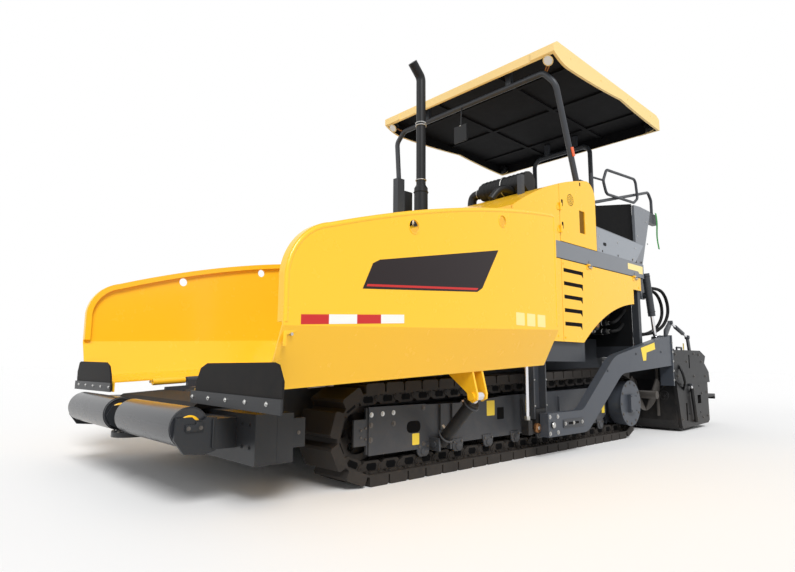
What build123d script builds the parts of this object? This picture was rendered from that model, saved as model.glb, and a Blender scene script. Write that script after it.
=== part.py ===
from build123d import *
import math
import os

# Asphalt paver on tracks. Millimetres. +X forward (hopper end), +Y the machine's left, +Z up.
# The origin is on the ground, under the middle of the whole machine.

# ---------------------------------------------------------------- driving sizes
# tracks
pitch = 160.0             # chain pitch, one shoe long
shoe_count = 51
shoe_width = 320.0
track_mid_y = 902.0       # middle of a track, from the machine's middle plane
idler_x = 2290.0
idler_outer_r = 300.0     # shoe face to idler axis, so the axis height too
sprocket_outer_r = 345.0
pin_depth = 85.0          # shoe face to chain pin
shoe_back = 68.0          # shoe face to shoe back
rail_depth = 135.0        # shoe face to the rail that rollers run on
pad_chamfer = 12.0
shoe_gap = 12.0
rail_width = 42.0
rail_spread = 65.0        # rail middle to track middle
roller_count = 8
roller_first_x = 1790.0
roller_step = 345.0
# chassis
frame_half_w = 600.0      # inside the side plates
plate = 20.0
frame_rear_x = -1500.0
frame_front_x = 2860.0
frame_low_z = 300.0
tunnel_roof_z = 1000.0
hood_front_x = 860.0
# front beam and push rollers
beam_half_w = 1120.0
beam_x = (2860.0, 3080.0)
beam_z = (216.0, 465.0)
roller_x = 3320.0
roller_z = 404.0
roller_r = 100.0
roller_y = (110.0, 900.0)
# hopper wings
wing_front_x = 3200.0
wing_rear_x = 930.0
wing_y = 1530.0
hinge_y = 640.0
hinge_front_z = 560.0
hinge_rear_z = 680.0
floor_outer_y = 1400.0
floor_rise = 22.0
fold_front_z = 882.0
fold_rear_z = 964.0
rim_rear_z = 1811.0
sheet = 10.0
# body
body_half_w = 1120.0
band_z = (1640.0, 1793.0)
band_rear_x = -1525.0
hood_rear_x = -505.0
hood_crest_z = 2456.0
door_front_x = 155.0
skin = 16.0
# canopy
canopy_x = (-2154.0, 203.0)
canopy_half_w = 1146.0
canopy_top_z = 3676.0
canopy_sheet = 26.0
canopy_depth = 46.0         # roof's thickness over the lining
hoop_r = 28.0
# tow points, arms and screed
tow_x = 590.0
tow_z = 255.0
arm_y = (1175.0, 1250.0)
screed_half_w = 1250.0
screed_front_x = -2000.0
screed_rear_x = -2850.0
sole_z = 24.0
walk_rear_x = -3420.0
auger_x = -1745.0
auger_z = 400.0
auger_r = 180.0
lift_y = arm_y[0] - 55.0
trunnion_y = lift_y - 50.0
lift_top = (-1640.0, 1470.0)
lift_eye = (-1745.0, 1000.0)
# hopper rams: foot pin and rod eye, (y, z) in the plane square to the hinge line at this x
ram_x = 1685.0
ram_foot = (1058.0, 197.0)
ram_eye = (1385.0, 522.0)
clear = 6.0               # running gap between moving pieces

# ---------------------------------------------------------------- helpers


def block(x0, x1, y0, y1, z0, z1):
    return Pos((x0 + x1) / 2, (y0 + y1) / 2, (z0 + z1) / 2) * Box(abs(x1 - x0), abs(y1 - y0), abs(z1 - z0))


def bar(a, b, r):
    """Round bar from point a to point b."""
    a, b = Vector(*a), Vector(*b)
    at = Plane(origin=a, z_dir=b - a)
    return at * Cylinder(r, (b - a).length, align=(Align.CENTER, Align.CENTER, Align.MIN))


def ring(a, b, r, hole):
    return bar(a, b, r) - bar(a, b, hole)


def slab_xz(outline, y0, y1):
    """Closed outline of (x, z) points, or a face drawn in x and z, as a slab from y0 to y1."""
    at = Plane(origin=(0, y1, 0), x_dir=(1, 0, 0), z_dir=(0, -1, 0))
    face = outline if isinstance(outline, (Face, Sketch)) else make_face(Polyline(*outline, close=True))
    return extrude(at * face, amount=y1 - y0)


def slab_yz(outline, x0, x1):
    """Closed outline of (y, z) points as a slab from x0 to x1."""
    at = Plane(origin=(x0, 0, 0), x_dir=(0, 1, 0), z_dir=(1, 0, 0))
    face = outline if isinstance(outline, (Face, Sketch)) else make_face(Polyline(*outline, close=True))
    return extrude(at * face, amount=x1 - x0)


def pipe(points, radii, r):
    """Round tube, solid, along straight runs joined by arcs."""
    path = FilletPolyline(*points, radius=radii)
    start = Plane(origin=path @ 0, z_dir=path % 0)
    return sweep(start * Circle(r), path=path)


def right_of(piece):
    return mirror(piece, about=Plane.XZ)


def both(piece):
    return [piece, right_of(piece)]


def fuse(pieces):
    whole = pieces[0]
    for piece in pieces[1:]:
        whole = whole + piece
    return whole


def hinge_z(x):
    """Height of the wing hinge line at x."""
    return hinge_rear_z + (hinge_front_z - hinge_rear_z) * (x - wing_rear_x) / (wing_front_x - wing_rear_x)


hinge_slope = math.degrees(math.atan2(hinge_rear_z - hinge_front_z, wing_front_x - wing_rear_x))


def tilted(piece):
    """Turn a piece drawn square to the machine until it is square to the hinge line at the hopper rams."""
    return Pos(ram_x, 0, hinge_z(ram_x)) * Rot(0, hinge_slope, 0) * Pos(-ram_x, 0, -hinge_z(ram_x)) * piece


# ---------------------------------------------------------------- tracks
sprocket_drop = sprocket_outer_r - idler_outer_r
loop_r = (idler_outer_r - pin_depth, sprocket_outer_r - pin_depth)
span = (shoe_count * pitch - math.pi * (loop_r[0] + loop_r[1])) / 2
sprocket_x = idler_x - span
tilt = 2 * math.atan2(sprocket_drop, span)   # the top run climbs to the rear by this angle


def chain_point(s):
    """Place and travel direction on the chain's pin line, s from the idler's lowest point, to the rear."""
    low = idler_x - sprocket_x
    wrap_rear = loop_r[1] * (math.pi - tilt)
    top = low
    if s < low:
        return (idler_x - s, pin_depth, math.pi)
    s -= low
    if s < wrap_rear:
        turn = s / loop_r[1]
        return (sprocket_x - loop_r[1] * math.sin(turn), sprocket_outer_r - loop_r[1] * math.cos(turn),
                math.pi - turn)
    s -= wrap_rear
    turn = math.pi - tilt
    start = (sprocket_x - loop_r[1] * math.sin(turn), sprocket_outer_r - loop_r[1] * math.cos(turn))
    if s < top:
        return (start[0] + s * math.cos(tilt), start[1] - s * math.sin(tilt), tilt * -1)
    s -= top
    turn = math.pi - tilt + s / loop_r[0]
    return (idler_x - loop_r[0] * math.sin(turn), idler_outer_r - loop_r[0] * math.cos(turn), math.pi - turn)


loop_length = 2 * (idler_x - sprocket_x) + loop_r[1] * (math.pi - tilt) + loop_r[0] * (math.pi + tilt)
step = loop_length / shoe_count


def shoe_frames():
    """Middle, along and outward directions of each shoe."""
    frames = []
    for i in range(shoe_count):
        a = chain_point(i * step)
        b = chain_point((i + 1) % shoe_count * step)
        mid = ((a[0] + b[0]) / 2, (a[1] + b[1]) / 2)
        size = math.hypot(b[0] - a[0], b[1] - a[1])
        along = ((b[0] - a[0]) / size, (b[1] - a[1]) / size)
        frames.append((mid, along, (-along[1], along[0])))
    return frames


def loop_outline(local_points):
    """The (u, v) points of one link, repeated round the loop; v is the distance out from the pins."""
    points = []
    for mid, along, out in shoe_frames():
        for u, v in local_points:
            points.append((mid[0] + u * along[0] + v * out[0], mid[1] + u * along[1] + v * out[1]))
    return points


def make_track():
    half = pitch / 2
    pad = half - shoe_gap / 2
    v_face = pin_depth
    v_back = pin_depth - shoe_back
    v_rail = pin_depth - rail_depth
    y0, y1 = track_mid_y - shoe_width / 2, track_mid_y + shoe_width / 2
    outer = loop_outline([(-pad, v_back + 12), (-pad, v_face - pad_chamfer), (-pad + pad_chamfer, v_face),
                          (pad - pad_chamfer, v_face), (pad, v_face - pad_chamfer), (pad, v_back + 12)])
    inner = loop_outline([(-half, v_back)])
    band = make_face(Polyline(*outer, close=True)) - make_face(Polyline(*inner, close=True))
    track = slab_xz(band, y0, y1)
    rail_out = loop_outline([(-half, v_back + 4)])
    rail_in = loop_outline([(-half, v_rail + 22), (-half + 26, v_rail), (half - 26, v_rail)])
    rail = make_face(Polyline(*rail_out, close=True)) - make_face(Polyline(*rail_in, close=True))
    for side in (-1, 1):
        mid = track_mid_y + side * rail_spread
        track = track + slab_xz(rail, mid - rail_width / 2, mid + rail_width / 2)
    return track


# track frames: a box each side inside its chain, with idler, rollers and final drive
frame_out_y = 1009.0      # outer face of the side plate, outside the rollers
frame_in_y = 849.0
skirt = 16.0              # side plate thickness
idler_r = idler_outer_r - rail_depth
idler_half_w = rail_spread - rail_width / 2 - 0.3      # it runs between the rails
roller_wheel_r = 66.0
roller_wheel_z = rail_depth + roller_wheel_r


def make_track_frame():
    low, high = 178.0, 452.0
    core_low = roller_wheel_z + roller_wheel_r + 10
    core = slab_xz([(2110, core_low), (2110, high), (1300, high - 5), (900, high + 25), (-560, high + 52),
                    (-760, high + 30), (-760, core_low)], frame_in_y, frame_out_y - skirt)
    side = slab_xz([(2275, low), (2275, high), (1300, high - 5), (900, high + 25), (-560, high + 52),
                    (-760, high + 30), (-760, 250), (-640, low)], frame_out_y - skirt, frame_out_y)
    nose = block(1765, 2262, frame_out_y, frame_out_y + 10, low - 8, high + 4)
    yoke = block(2262, 2370, frame_out_y - skirt, frame_out_y, idler_outer_r - 70, idler_outer_r + 85)
    axle = bar((idler_x, track_mid_y + idler_half_w + 5.3, idler_outer_r), (idler_x, frame_out_y - 1, idler_outer_r), 40)
    body = fuse([core, side, nose, yoke, axle])
    body = body - bar((idler_x, 800, idler_outer_r), (idler_x, track_mid_y + idler_half_w + 5.3, idler_outer_r), idler_r + 12)
    body = body - block(1825, 1935, frame_out_y - skirt - 60, 1100, 285, 345)
    ears = [block(ram_x + s * 56 - 8, ram_x + s * 56 + 8, frame_out_y - 10, ram_foot[0] + 40,
                  ram_foot[1] - 42, ram_foot[1] + 42) for s in (-1, 1)]
    pin = bar((ram_x - 76, *ram_foot), (ram_x + 76, *ram_foot), 18)
    foot = tilted(fuse([ears[0], pin])) + tilted(ears[1])
    stubs = [block(x - 90, x + 90, frame_half_w + plate, frame_in_y + 1, 290, 420) for x in (1350.0, -250.0)]
    return fuse([body, foot, *stubs])


def make_idler():
    y0, y1 = track_mid_y - idler_half_w, track_mid_y + idler_half_w
    wheel = ring((idler_x, y0, idler_outer_r), (idler_x, y1, idler_outer_r), idler_r - 0.3, idler_r - 40)
    web = bar((idler_x, track_mid_y - 14, idler_outer_r), (idler_x, track_mid_y + 14, idler_outer_r), idler_r - 38)
    hub = bar((idler_x, y0, idler_outer_r), (idler_x, y1 + 5, idler_outer_r), 52)
    for i in range(5):
        a = 2 * math.pi * i / 5
        x, z = idler_x + 88 * math.cos(a), idler_outer_r + 88 * math.sin(a)
        web = web - bar((x, track_mid_y - 20, z), (x, track_mid_y + 20, z), 26)
    return fuse([wheel, web, hub])


def make_rollers():
    """Bottom rollers and two top rollers of the left track."""
    wheels = []
    for i in range(roller_count):
        x = roller_first_x - i * roller_step
        for s in (-1, 1):
            mid = track_mid_y + s * rail_spread
            wheels.append(bar((x, mid - 22, roller_wheel_z), (x, mid + 22, roller_wheel_z), roller_wheel_r - 0.3))
        wheels.append(bar((x, track_mid_y - 60, roller_wheel_z), (x, frame_out_y - skirt, roller_wheel_z), 30))
    return wheels


def make_final_drive():
    c = (sprocket_x, sprocket_outer_r)
    drum = bar((c[0], 1000, c[1]), (c[0], 1122, c[1]), 212)
    drum = drum + bar((c[0], 1122, c[1]), (c[0], 1132, c[1]), 220)
    cover = block(c[0] - 62, c[0] + 72, 1132, 1168, c[1] - 86, c[1] + 86)
    hub = bar((c[0], frame_half_w + plate, c[1]), (c[0], 1000, c[1]), 150)
    root = sprocket_outer_r - rail_depth - 6
    teeth = 9
    gear = bar((c[0], track_mid_y - 26, c[1]), (c[0], track_mid_y + 26, c[1]), root)
    for i in range(teeth):
        a = 2 * math.pi * (i + 0.5) / teeth
        tip = [(root - 15, -26), (root + 32, -12), (root + 32, 12), (root - 15, 26)]
        outline = [(c[0] + r * math.cos(a) - t * math.sin(a), c[1] + r * math.sin(a) + t * math.cos(a))
                   for r, t in tip]
        gear = gear + slab_xz(outline, track_mid_y - 26, track_mid_y + 26)
    return fuse([hub, drum, cover, gear])


# ---------------------------------------------------------------- chassis
knuckle_r = 24.0
floor_in_y = hinge_y + knuckle_r + 8
hinge_pin_r = 11.0
knuckle_count = 9
knuckle_step = (wing_front_x - wing_rear_x) / knuckle_count


def knuckle(i, r, trim):
    """Round knuckle number i of the left hinge line, counted from the rear."""
    x0 = wing_rear_x + i * knuckle_step + trim
    x1 = wing_rear_x + (i + 1) * knuckle_step - trim
    return bar((x0, hinge_y, hinge_z(x0)), (x1, hinge_y, hinge_z(x1)), r)


def make_main_frame():
    """Side plates, bottom, tunnel roof, outriggers over the tracks and the wings' hinge knuckles."""
    w = frame_half_w
    side = [(frame_front_x, frame_low_z), (frame_front_x, hinge_z(frame_front_x) - 40),
            (hood_front_x, hinge_z(wing_rear_x) - 40), (hood_front_x, tunnel_roof_z),
            (frame_rear_x, tunnel_roof_z), (frame_rear_x, 480), (-1300, frame_low_z)]
    left = slab_xz(side, w, w + plate)
    left = left + block(-260, hood_front_x, w + plate, guide_y[0], 745, 915)
    left = left + block(frame_rear_x, -1380, w + plate, body_half_w - 60, 800, 915)
    left = left + block(-1462, -1400, body_half_w - 90, body_half_w - 20, 800, band_z[0] - 3)
    for i in range(0, knuckle_count, 2):
        x0 = wing_rear_x + i * knuckle_step + clear
        x1 = wing_rear_x + (i + 1) * knuckle_step - clear
        if x1 > frame_front_x:
            continue
        foot = slab_xz([(x0, hinge_z(x0) - 60), (x0, hinge_z(x0)), (x1, hinge_z(x1)), (x1, hinge_z(x1) - 60)],
                       w, hinge_y)
        left = left + foot + knuckle(i, knuckle_r, clear)
    left = left + bar((wing_rear_x + 2, hinge_y, hinge_z(wing_rear_x + 2)),
                      (frame_front_x, hinge_y, hinge_z(frame_front_x)), hinge_pin_r)
    floor = block(-1300, frame_front_x, -w, w, frame_low_z, frame_low_z + plate)
    roof = block(frame_rear_x, hood_front_x, -w, w, tunnel_roof_z - plate, tunnel_roof_z)
    middle = block(-1400, hood_front_x, -15, 15, frame_low_z, tunnel_roof_z)
    rear = block(frame_rear_x, frame_rear_x + plate, -w, w, 700, tunnel_roof_z)
    return fuse([left, right_of(left), floor, roof, middle, rear])


conveyor_z = 500.0
slat_step = 330.0


def make_conveyor():
    """Two lanes: floor plate, slats with their chains' side bars, front and rear rollers."""
    pieces = []
    lane = (15.0, frame_half_w)
    front, rear = 2780.0, -1420.0
    for s in (-1, 1):
        y0, y1 = sorted((s * lane[0], s * lane[1]))
        pieces.append(block(rear, front, y0, y1, conveyor_z - 12, conveyor_z))
        rails = [block(rear + 40, front - 40, y - 18, y + 18, conveyor_z, conveyor_z + 22)
                 for y in (y0 + 75, y1 - 75)]
        pieces += rails
        count = int((front - rear - 160) / slat_step)
        for i in range(count + 1):
            x = front - 100 - i * slat_step
            pieces.append(block(x - 22, x + 22, y0 + 57, y1 - 57, conveyor_z + 2, conveyor_z + 40))
        for x in (front - 10, rear + 10):
            pieces.append(bar((x, y0 + 5, conveyor_z - 66), (x, y1 - 5, conveyor_z - 66), 64))
    link = block(900, 2700, -16, 16, conveyor_z - 12, conveyor_z)
    return fuse([fuse(pieces), link])


def make_front_beam():
    x0, x1 = beam_x
    z0, z1 = beam_z
    beam = block(x0, x1, -beam_half_w, beam_half_w, z0, z1)
    seam = [block(x0 + 96, x0 + 104, s * beam_half_w - 1, s * beam_half_w + 1, z0, z1) for s in (-1, 1)]
    tabs = [block(x0 - 78, x0, s * 1098 - 12, s * 1098 + 12, z0 + 70, z1 - 30) for s in (-1, 1)]
    beam = fuse([beam, *tabs])
    for piece in seam:
        beam = beam - piece
    return beam


def make_apron():
    """Sill across the hopper's front, ahead of the conveyor."""
    sill = slab_xz([(2860, 470), (2860, 520), (3150, 500), (3185, 470), (3185, 446), (3170, 446), (3165, 466)],
                   -610, 610)
    return sill + block(2840, 2862, -599, 599, 465, 512)


push_beam_x = (3080.0, 3190.0)
bracket_gap = 12.0


def make_push_beam():
    """Beam that carries the push rollers, with end and middle brackets and a tow eye."""
    x0, x1 = push_beam_x
    beam = block(x0, x1, -930, 930, 290, 440)
    end = slab_xz([(3190, 285), (3190, 446), (3238, 452), (3256, 438), (3300, 438), (3318, 454), (3396, 452),
                   (3403, 350), (3352, 280), (3248, 270)],
                  roller_y[1] + bracket_gap, roller_y[1] + bracket_gap + 18)
    end = end + bar((roller_x, roller_y[1] + 1 - 60, roller_z), (roller_x, roller_y[1] + bracket_gap + 2, roller_z), 30)
    mid = slab_xz([(3190, 290), (3190, 440), (3240, 462), (3375, 455), (3405, 400), (3380, 340), (3300, 300)],
                  -roller_y[0] + bracket_gap, -roller_y[0] + bracket_gap + 18)
    eye = Pos(3300, 0, 292) * Cylinder(95, 30) + block(3150, 3300, -95, 95, 277, 307)
    axle = bar((roller_x, -roller_y[0] - 60, roller_z), (roller_x, roller_y[0] + 60, roller_z), 30)
    whole = fuse([beam, end, right_of(end), mid, right_of(mid), eye, axle])
    return whole - Pos(3320, 0, 292) * Cylinder(32, 80)


def make_push_roller():
    y0, y1 = roller_y
    a, b = (roller_x, y0, roller_z), (roller_x, y1, roller_z)
    drum = bar(a, b, roller_r)
    return drum - bar((roller_x, y0 - 1, roller_z), (roller_x, y0 + 64, roller_z), 30.5) \
        - bar((roller_x, y1 - 64, roller_z), (roller_x, y1 + 1, roller_z), 30.5)


# ---------------------------------------------------------------- hopper wings
def wing_section(x, hinge, fold):
    """Closed (y, z) section of the wing's sheet at x: floor, sloped side and upright wall."""
    low = hinge + 12
    out = low + floor_rise
    high = 1900.0
    points = [(floor_in_y, low), (floor_outer_y, out), (wing_y, fold), (wing_y, high), (wing_y - sheet, high),
              (wing_y - sheet, fold + 3), (floor_outer_y - 6, out + sheet), (floor_in_y, low + sheet)]
    at = Plane(origin=(x, 0, 0), x_dir=(0, 1, 0), z_dir=(1, 0, 0))
    return at * make_face(Polyline(*points, close=True))


def wing_profile():
    """Side outline of a wing in x and z."""
    f, r = wing_front_x, wing_rear_x
    edge = [Line((r, 480), (r, rim_rear_z)),
            ThreePointArc((r, rim_rear_z), ((r + f) / 2 + 25, 1627), (f - 240, 1386)),
            ThreePointArc((f - 240, 1386), (f - 74, 1290), (f, 1120)),
            Line((f, 1120), (f, 480)),
            Line((f, 480), (r, 480))]
    return make_face(edge)


def make_wing():
    shell = loft([wing_section(wing_rear_x, hinge_rear_z, fold_rear_z),
                  wing_section(wing_front_x, hinge_front_z, fold_front_z)], ruled=True)
    outline = wing_profile()
    shell = shell & slab_xz(outline, 500, 1600)
    lip_face = outline - offset(outline, -44, kind=Kind.INTERSECTION)
    lip = slab_xz(lip_face, wing_y - 46, wing_y)
    lip = lip - block(0, wing_rear_x + 60, 1000, 1600, 0, 1740) - block(0, 4000, 1000, 1600, 0, 900)
    wing = shell + lip
    for x, z in ((2391, 1463), (1578, 1640)):
        wing = wing - bar((x, 1400, z), (x, 1600, z), 38)
    z0 = hinge_z(wing_front_x)
    flange = slab_yz([(floor_in_y, z0 - 52), (floor_outer_y + 20, z0 - 40), (floor_outer_y, z0 + 36),
                      (floor_in_y, z0 + 14)], wing_front_x - 10, wing_front_x)
    wing = wing + flange
    for i in range(1, knuckle_count, 2):
        x0 = wing_rear_x + i * knuckle_step + clear
        x1 = wing_rear_x + (i + 1) * knuckle_step - clear
        tab = slab_xz([(x0, hinge_z(x0) - 8), (x0, hinge_z(x0) + 18), (x1, hinge_z(x1) + 18), (x1, hinge_z(x1) - 8)],
                      hinge_y, floor_in_y + 30)
        wing = wing + tab + knuckle(i, knuckle_r, clear)
    wing = wing - bar((wing_rear_x - 50, hinge_y, hinge_z(wing_rear_x - 50)),
                      (wing_front_x + 50, hinge_y, hinge_z(wing_front_x + 50)), hinge_pin_r + 0.6)
    under = hinge_z(ram_x) + 16
    for s in (-1, 1):
        ear = slab_yz([(ram_eye[0] - 200, under + 10), (ram_eye[0] - 40, ram_eye[1] + 20),
                       (ram_eye[0] - 36, ram_eye[1] - 22), (ram_eye[0], ram_eye[1] - 40),
                       (ram_eye[0] + 36, ram_eye[1] - 22), (ram_eye[0] + 40, ram_eye[1] + 10),
                       (ram_eye[0] + 10, under + 20)], ram_x + s * 46 - 8, ram_x + s * 46 + 8)
        boss = bar((ram_x + s * 46, *ram_eye), (ram_x + s * 66, *ram_eye), 24)
        wing = wing + tilted(ear + boss)
    return wing


def make_wing_flap():
    """Rubber sheet at the open front of a wing."""
    x0 = wing_front_x
    outline = [(690, 522), (1556, 512), (1560, 640), (1520, 712), (1480, 722), (835, 716), (760, 690), (715, 620)]
    return slab_yz(outline, x0, x0 + 12)


def make_flap_strip():
    x0 = wing_front_x + 12
    strip = slab_yz([(672, 508), (1568, 500), (1568, 566), (672, 572)], x0, x0 + 10)
    return strip


# ---------------------------------------------------------------- hopper rams
def ram_axis():
    dy, dz = ram_eye[0] - ram_foot[0], ram_eye[1] - ram_foot[1]
    size = math.hypot(dy, dz)
    return dy / size, dz / size, size


def ram_at(distance):
    """Point on the left ram's axis."""
    dy, dz, _ = ram_axis()
    return (ram_x, ram_foot[0] + dy * distance, ram_foot[1] + dz * distance)


def make_ram_barrel():
    _, _, size = ram_axis()
    barrel = bar(ram_at(0), ram_at(size - 62), 40)
    barrel = barrel + bar(ram_at(size - 100), ram_at(size - 60), 46)
    eye = bar((ram_x - 42, *ram_foot), (ram_x + 42, *ram_foot), 34)
    hole = bar((ram_x - 60, *ram_foot), (ram_x + 60, *ram_foot), 18.5)
    return tilted(barrel + eye - hole - bar(ram_at(60), ram_at(size), 25.5))


def make_ram_rod():
    _, _, size = ram_axis()
    rod = bar(ram_at(64), ram_at(size - 8), 25)
    return tilted(rod + bar((ram_x - 30, *ram_eye), (ram_x + 30, *ram_eye), 32))


# ---------------------------------------------------------------- body
def hood_curve(front_x=hood_front_x, drop=0.0):
    """Upper edge of the hood in x and z, from the rear corner to the front."""
    r = hood_rear_x
    rear = (r + drop, hood_crest_z - 160)
    return [ThreePointArc(rear, (r + 45 + drop * 0.7, hood_crest_z - 45 - drop * 0.7), (r + 150, hood_crest_z - drop)),
            ThreePointArc((r + 150, hood_crest_z - drop), (200, 2304 - drop), (front_x, 1985 - drop))]


def hood_face(low, front_x, drop=0.0):
    edge = hood_curve(front_x, drop)
    start, end = edge[0] @ 0, edge[1] @ 1
    edge += [Line((end.X, end.Y), (front_x, low)), Line((front_x, low), (start.X, low)),
             Line((start.X, low), (start.X, start.Y))]
    return make_face(edge)


hood_inner_w = body_half_w - skin - clear      # half width of the roof sheet, between the doors


def make_hood():
    """Roof sheet, front and rear walls and the fixed side panels ahead of the doors."""
    inner_w = hood_inner_w
    shell = slab_xz(hood_face(band_z[1], hood_front_x), -inner_w, inner_w)
    shell = shell - slab_xz(hood_face(band_z[1] - 50, hood_front_x - 10, 10), -inner_w - 1, inner_w + 1)
    front = block(hood_front_x - 10, hood_front_x, -inner_w, inner_w, tunnel_roof_z, band_z[1])
    rear = block(hood_rear_x, hood_rear_x + 10, -inner_w, inner_w, band_z[1], hood_crest_z - 150)
    fixed = slab_xz(hood_face(band_z[1], hood_front_x), body_half_w - skin, body_half_w)
    fixed = fixed - block(-2000, door_front_x + clear, body_half_w - 200, body_half_w + 200, 900, 3000)
    fixed = fixed + block(door_front_x + clear, hood_front_x, body_half_w - skin - clear, body_half_w - skin, 1900, 1960)
    fixed = fuse([fixed, *upper_hinges(False)])
    lower = block(door_front_x + clear, hood_front_x, body_half_w - skin, body_half_w, 915, band_z[0])
    lower = lower + block(hood_front_x - 10, hood_front_x, body_half_w - 40, body_half_w - skin, 916, band_z[0])
    return fuse([shell, front, rear, fixed, right_of(fixed), lower, right_of(lower)])


door_pin_r = 5.0
door_knuckle_r = 10.0
upper_hinge = (door_front_x + 3, body_half_w + 10.5)      # (x, y) of the upper door's upright pin
upper_hinge_z = (1905.0, 2110.0)
lower_hinge = (body_half_w + 10.5, band_z[0] - 3)         # (y, z) of the lower door's pin
lower_hinge_x = (-330.0, -1300.0)


def upper_hinges(of_door):
    """Knuckles and leaves of the left upper door's hinges; the door's are above the fixed ones."""
    x, y = upper_hinge
    pieces = []
    for z in upper_hinge_z:
        low, high = (z + 0.3, z + 34) if of_door else (z - 34, z)
        pieces.append(bar((x, y, low), (x, y, high), door_knuckle_r))
        side = -1 if of_door else 1
        leaf_x = sorted((x, x + side * 42))
        pieces.append(block(*leaf_x, body_half_w - 1, body_half_w + 5, low, high))
    return pieces


def lower_hinges(of_door):
    """The same along the top edge of the left lower door."""
    y, z = lower_hinge
    pieces = []
    for x in lower_hinge_x:
        low, high = (x + 0.3, x + 40) if of_door else (x - 40, x)
        pieces.append(bar((low, y, z), (high, y, z), door_knuckle_r))
        side = -1 if of_door else 1
        leaf_z = sorted((z, z + side * 42))
        pieces.append(block(low, high, body_half_w - 1, body_half_w + 5, *leaf_z))
    return pieces


def make_upper_door():
    """Door plate under the curved edge, with its grip recess."""
    y1 = body_half_w
    plate_face = hood_face(band_z[1] + clear, hood_front_x)
    door = slab_xz(plate_face, y1 - skin, y1)
    door = door - block(door_front_x, 2000, y1 - 200, y1 + 200, 900, 3000)
    grip = block(-290, -190, y1 - 9, y1 + 5, 1925, 2140)
    return fuse([door - grip, *upper_hinges(True)])


def make_lower_door():
    """Louvred door with the arch over the pump bay."""
    y1 = body_half_w
    rear_x = -1450.0
    top = band_z[0] - clear
    edge = [Line((door_front_x, top), (door_front_x, 915)),
            Line((door_front_x, 915), (-190, 915)),
            ThreePointArc((-190, 915), (-640, 1185), (-1262, 1345)),
            Line((-1262, 1345), (-1262, 1500)),
            Line((-1262, 1500), (rear_x, 1500)),
            Line((rear_x, 1500), (rear_x, top)),
            Line((rear_x, top), (door_front_x, top))]
    door = slab_xz(make_face(edge), y1 - skin, y1)
    for i in range(5):
        z = 1560 - i * 118
        door = door - block(-215 + i * 12, door_front_x - 30, y1 - 30, y1 + 5, z - 34, z)
        blade = slab_yz([(y1 - skin, z), (y1 - skin, z - 6), (y1 - 2, z - 36), (y1, z - 30), (y1 - 4, z - 30),
                         (y1 - skin + 6, z)], -215 + i * 12 - 1, door_front_x - 29)
        door = door + blade
    return fuse([door, *lower_hinges(True)])


def side_panel_top(x):
    """Height of the deck's side panel at x."""
    return 2045 - (hood_rear_x - 5 - x) * 30 / 1050


station_wall = [(band_rear_x, band_z[1]), (band_rear_x - 275, 2440), (-1560, 2446), (-1400, 2436), (-1400, band_z[1])]
wall_plate = 18.0


def station_inside():
    """Everything ahead of the rear wall's rear face."""
    low, high = station_wall[0], station_wall[1]
    return slab_xz([(low[0] - wall_plate, low[1] - 60), (high[0] - wall_plate, high[1]), (-1000, high[1]),
                    (-1000, low[1] - 60)], -body_half_w - 50, body_half_w + 50)


def make_deck():
    """Operator's floor with the deep grey band along each side, the side walls and the leaning rear wall."""
    w = body_half_w
    floor = block(band_rear_x, hood_rear_x - 1, -w + 60, w - 60, band_z[1] - 42, band_z[1])
    band = block(band_rear_x, hood_front_x - 30, w - 70, w, band_z[0], band_z[1])
    hatch = slab_xz([(hood_rear_x - 5, band_z[1]), (hood_rear_x - 5, side_panel_top(hood_rear_x - 5)),
                     (-1585, side_panel_top(-1585)), (-1340, band_z[1] + 4), (-1340, band_z[1])], w - 35, w - 2)
    wall = slab_xz(station_wall, w - 35, w - 8)
    low, high = station_wall[0], station_wall[1]
    back = slab_xz([low, high, (high[0] - wall_plate, high[1]), (low[0] - wall_plate, low[1])], -w + 8, w - 8)
    rear_half_w = max(w, trunnion_y)
    rear = block(band_rear_x - wall_plate, band_rear_x, -rear_half_w, rear_half_w, band_z[0], band_z[1])
    hanger = slab_xz([(band_rear_x - 6, band_z[1]), (lift_top[0] - 34, 1700), (lift_top[0] - 34, 1430),
                      (lift_top[0] + 34, 1430), (band_rear_x - 6, band_z[0] - 20)], trunnion_y - 30, trunnion_y - 8)
    pin = bar((lift_top[0], trunnion_y - 20, lift_top[1]), (lift_top[0], trunnion_y + 8, lift_top[1]), 16)
    sides = fuse([band, hatch, wall, hanger, pin, *lower_hinges(False)])
    return fuse([floor, back, rear, sides, right_of(sides)])


def make_engine():
    return block(-330, 760, -380, 380, tunnel_roof_z, 1780)


def make_pump_bay():
    """Bulkhead behind the pump bay and the pumps that stand on the tunnel's roof."""
    w = body_half_w - 91
    f = frame_half_w + plate + 0.3
    top = band_z[1] - 42
    bulkhead = slab_yz([(f, 915), (w, 915), (w, top), (-w, top), (-w, 915), (-f, 915), (-f, tunnel_roof_z),
                        (f, tunnel_roof_z)], -1400, -1388)
    pumps = []
    for s in (-1, 1):
        box = block(-1010, -720, s * 440, s * 700, tunnel_roof_z, 1250)
        head = bar((-865, s * 698, 1130), (-865, s * 860, 1130), 96)
        cap = bar((-865, s * 858, 1130), (-865, s * 905, 1130), 62)
        neck = bar((-800, s * 560, 1248), (-800, s * 560, 1400), 34)
        filter_ = bar((-930, s * 560, 1248), (-930, s * 560, 1540), 52)
        pumps.append(fuse([box, head, cap, neck, filter_]))
    for route in (rear_hose_outer, rear_hose_inner):
        for end, after in ((route[0], route[1]), (route[-1], route[-2])):
            end, after = Vector(*end), Vector(*after)
            bulkhead = bulkhead + bar(end - (after - end).normalized() * 36, end, hose_r + 8)
    return [bulkhead, *pumps]


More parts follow.
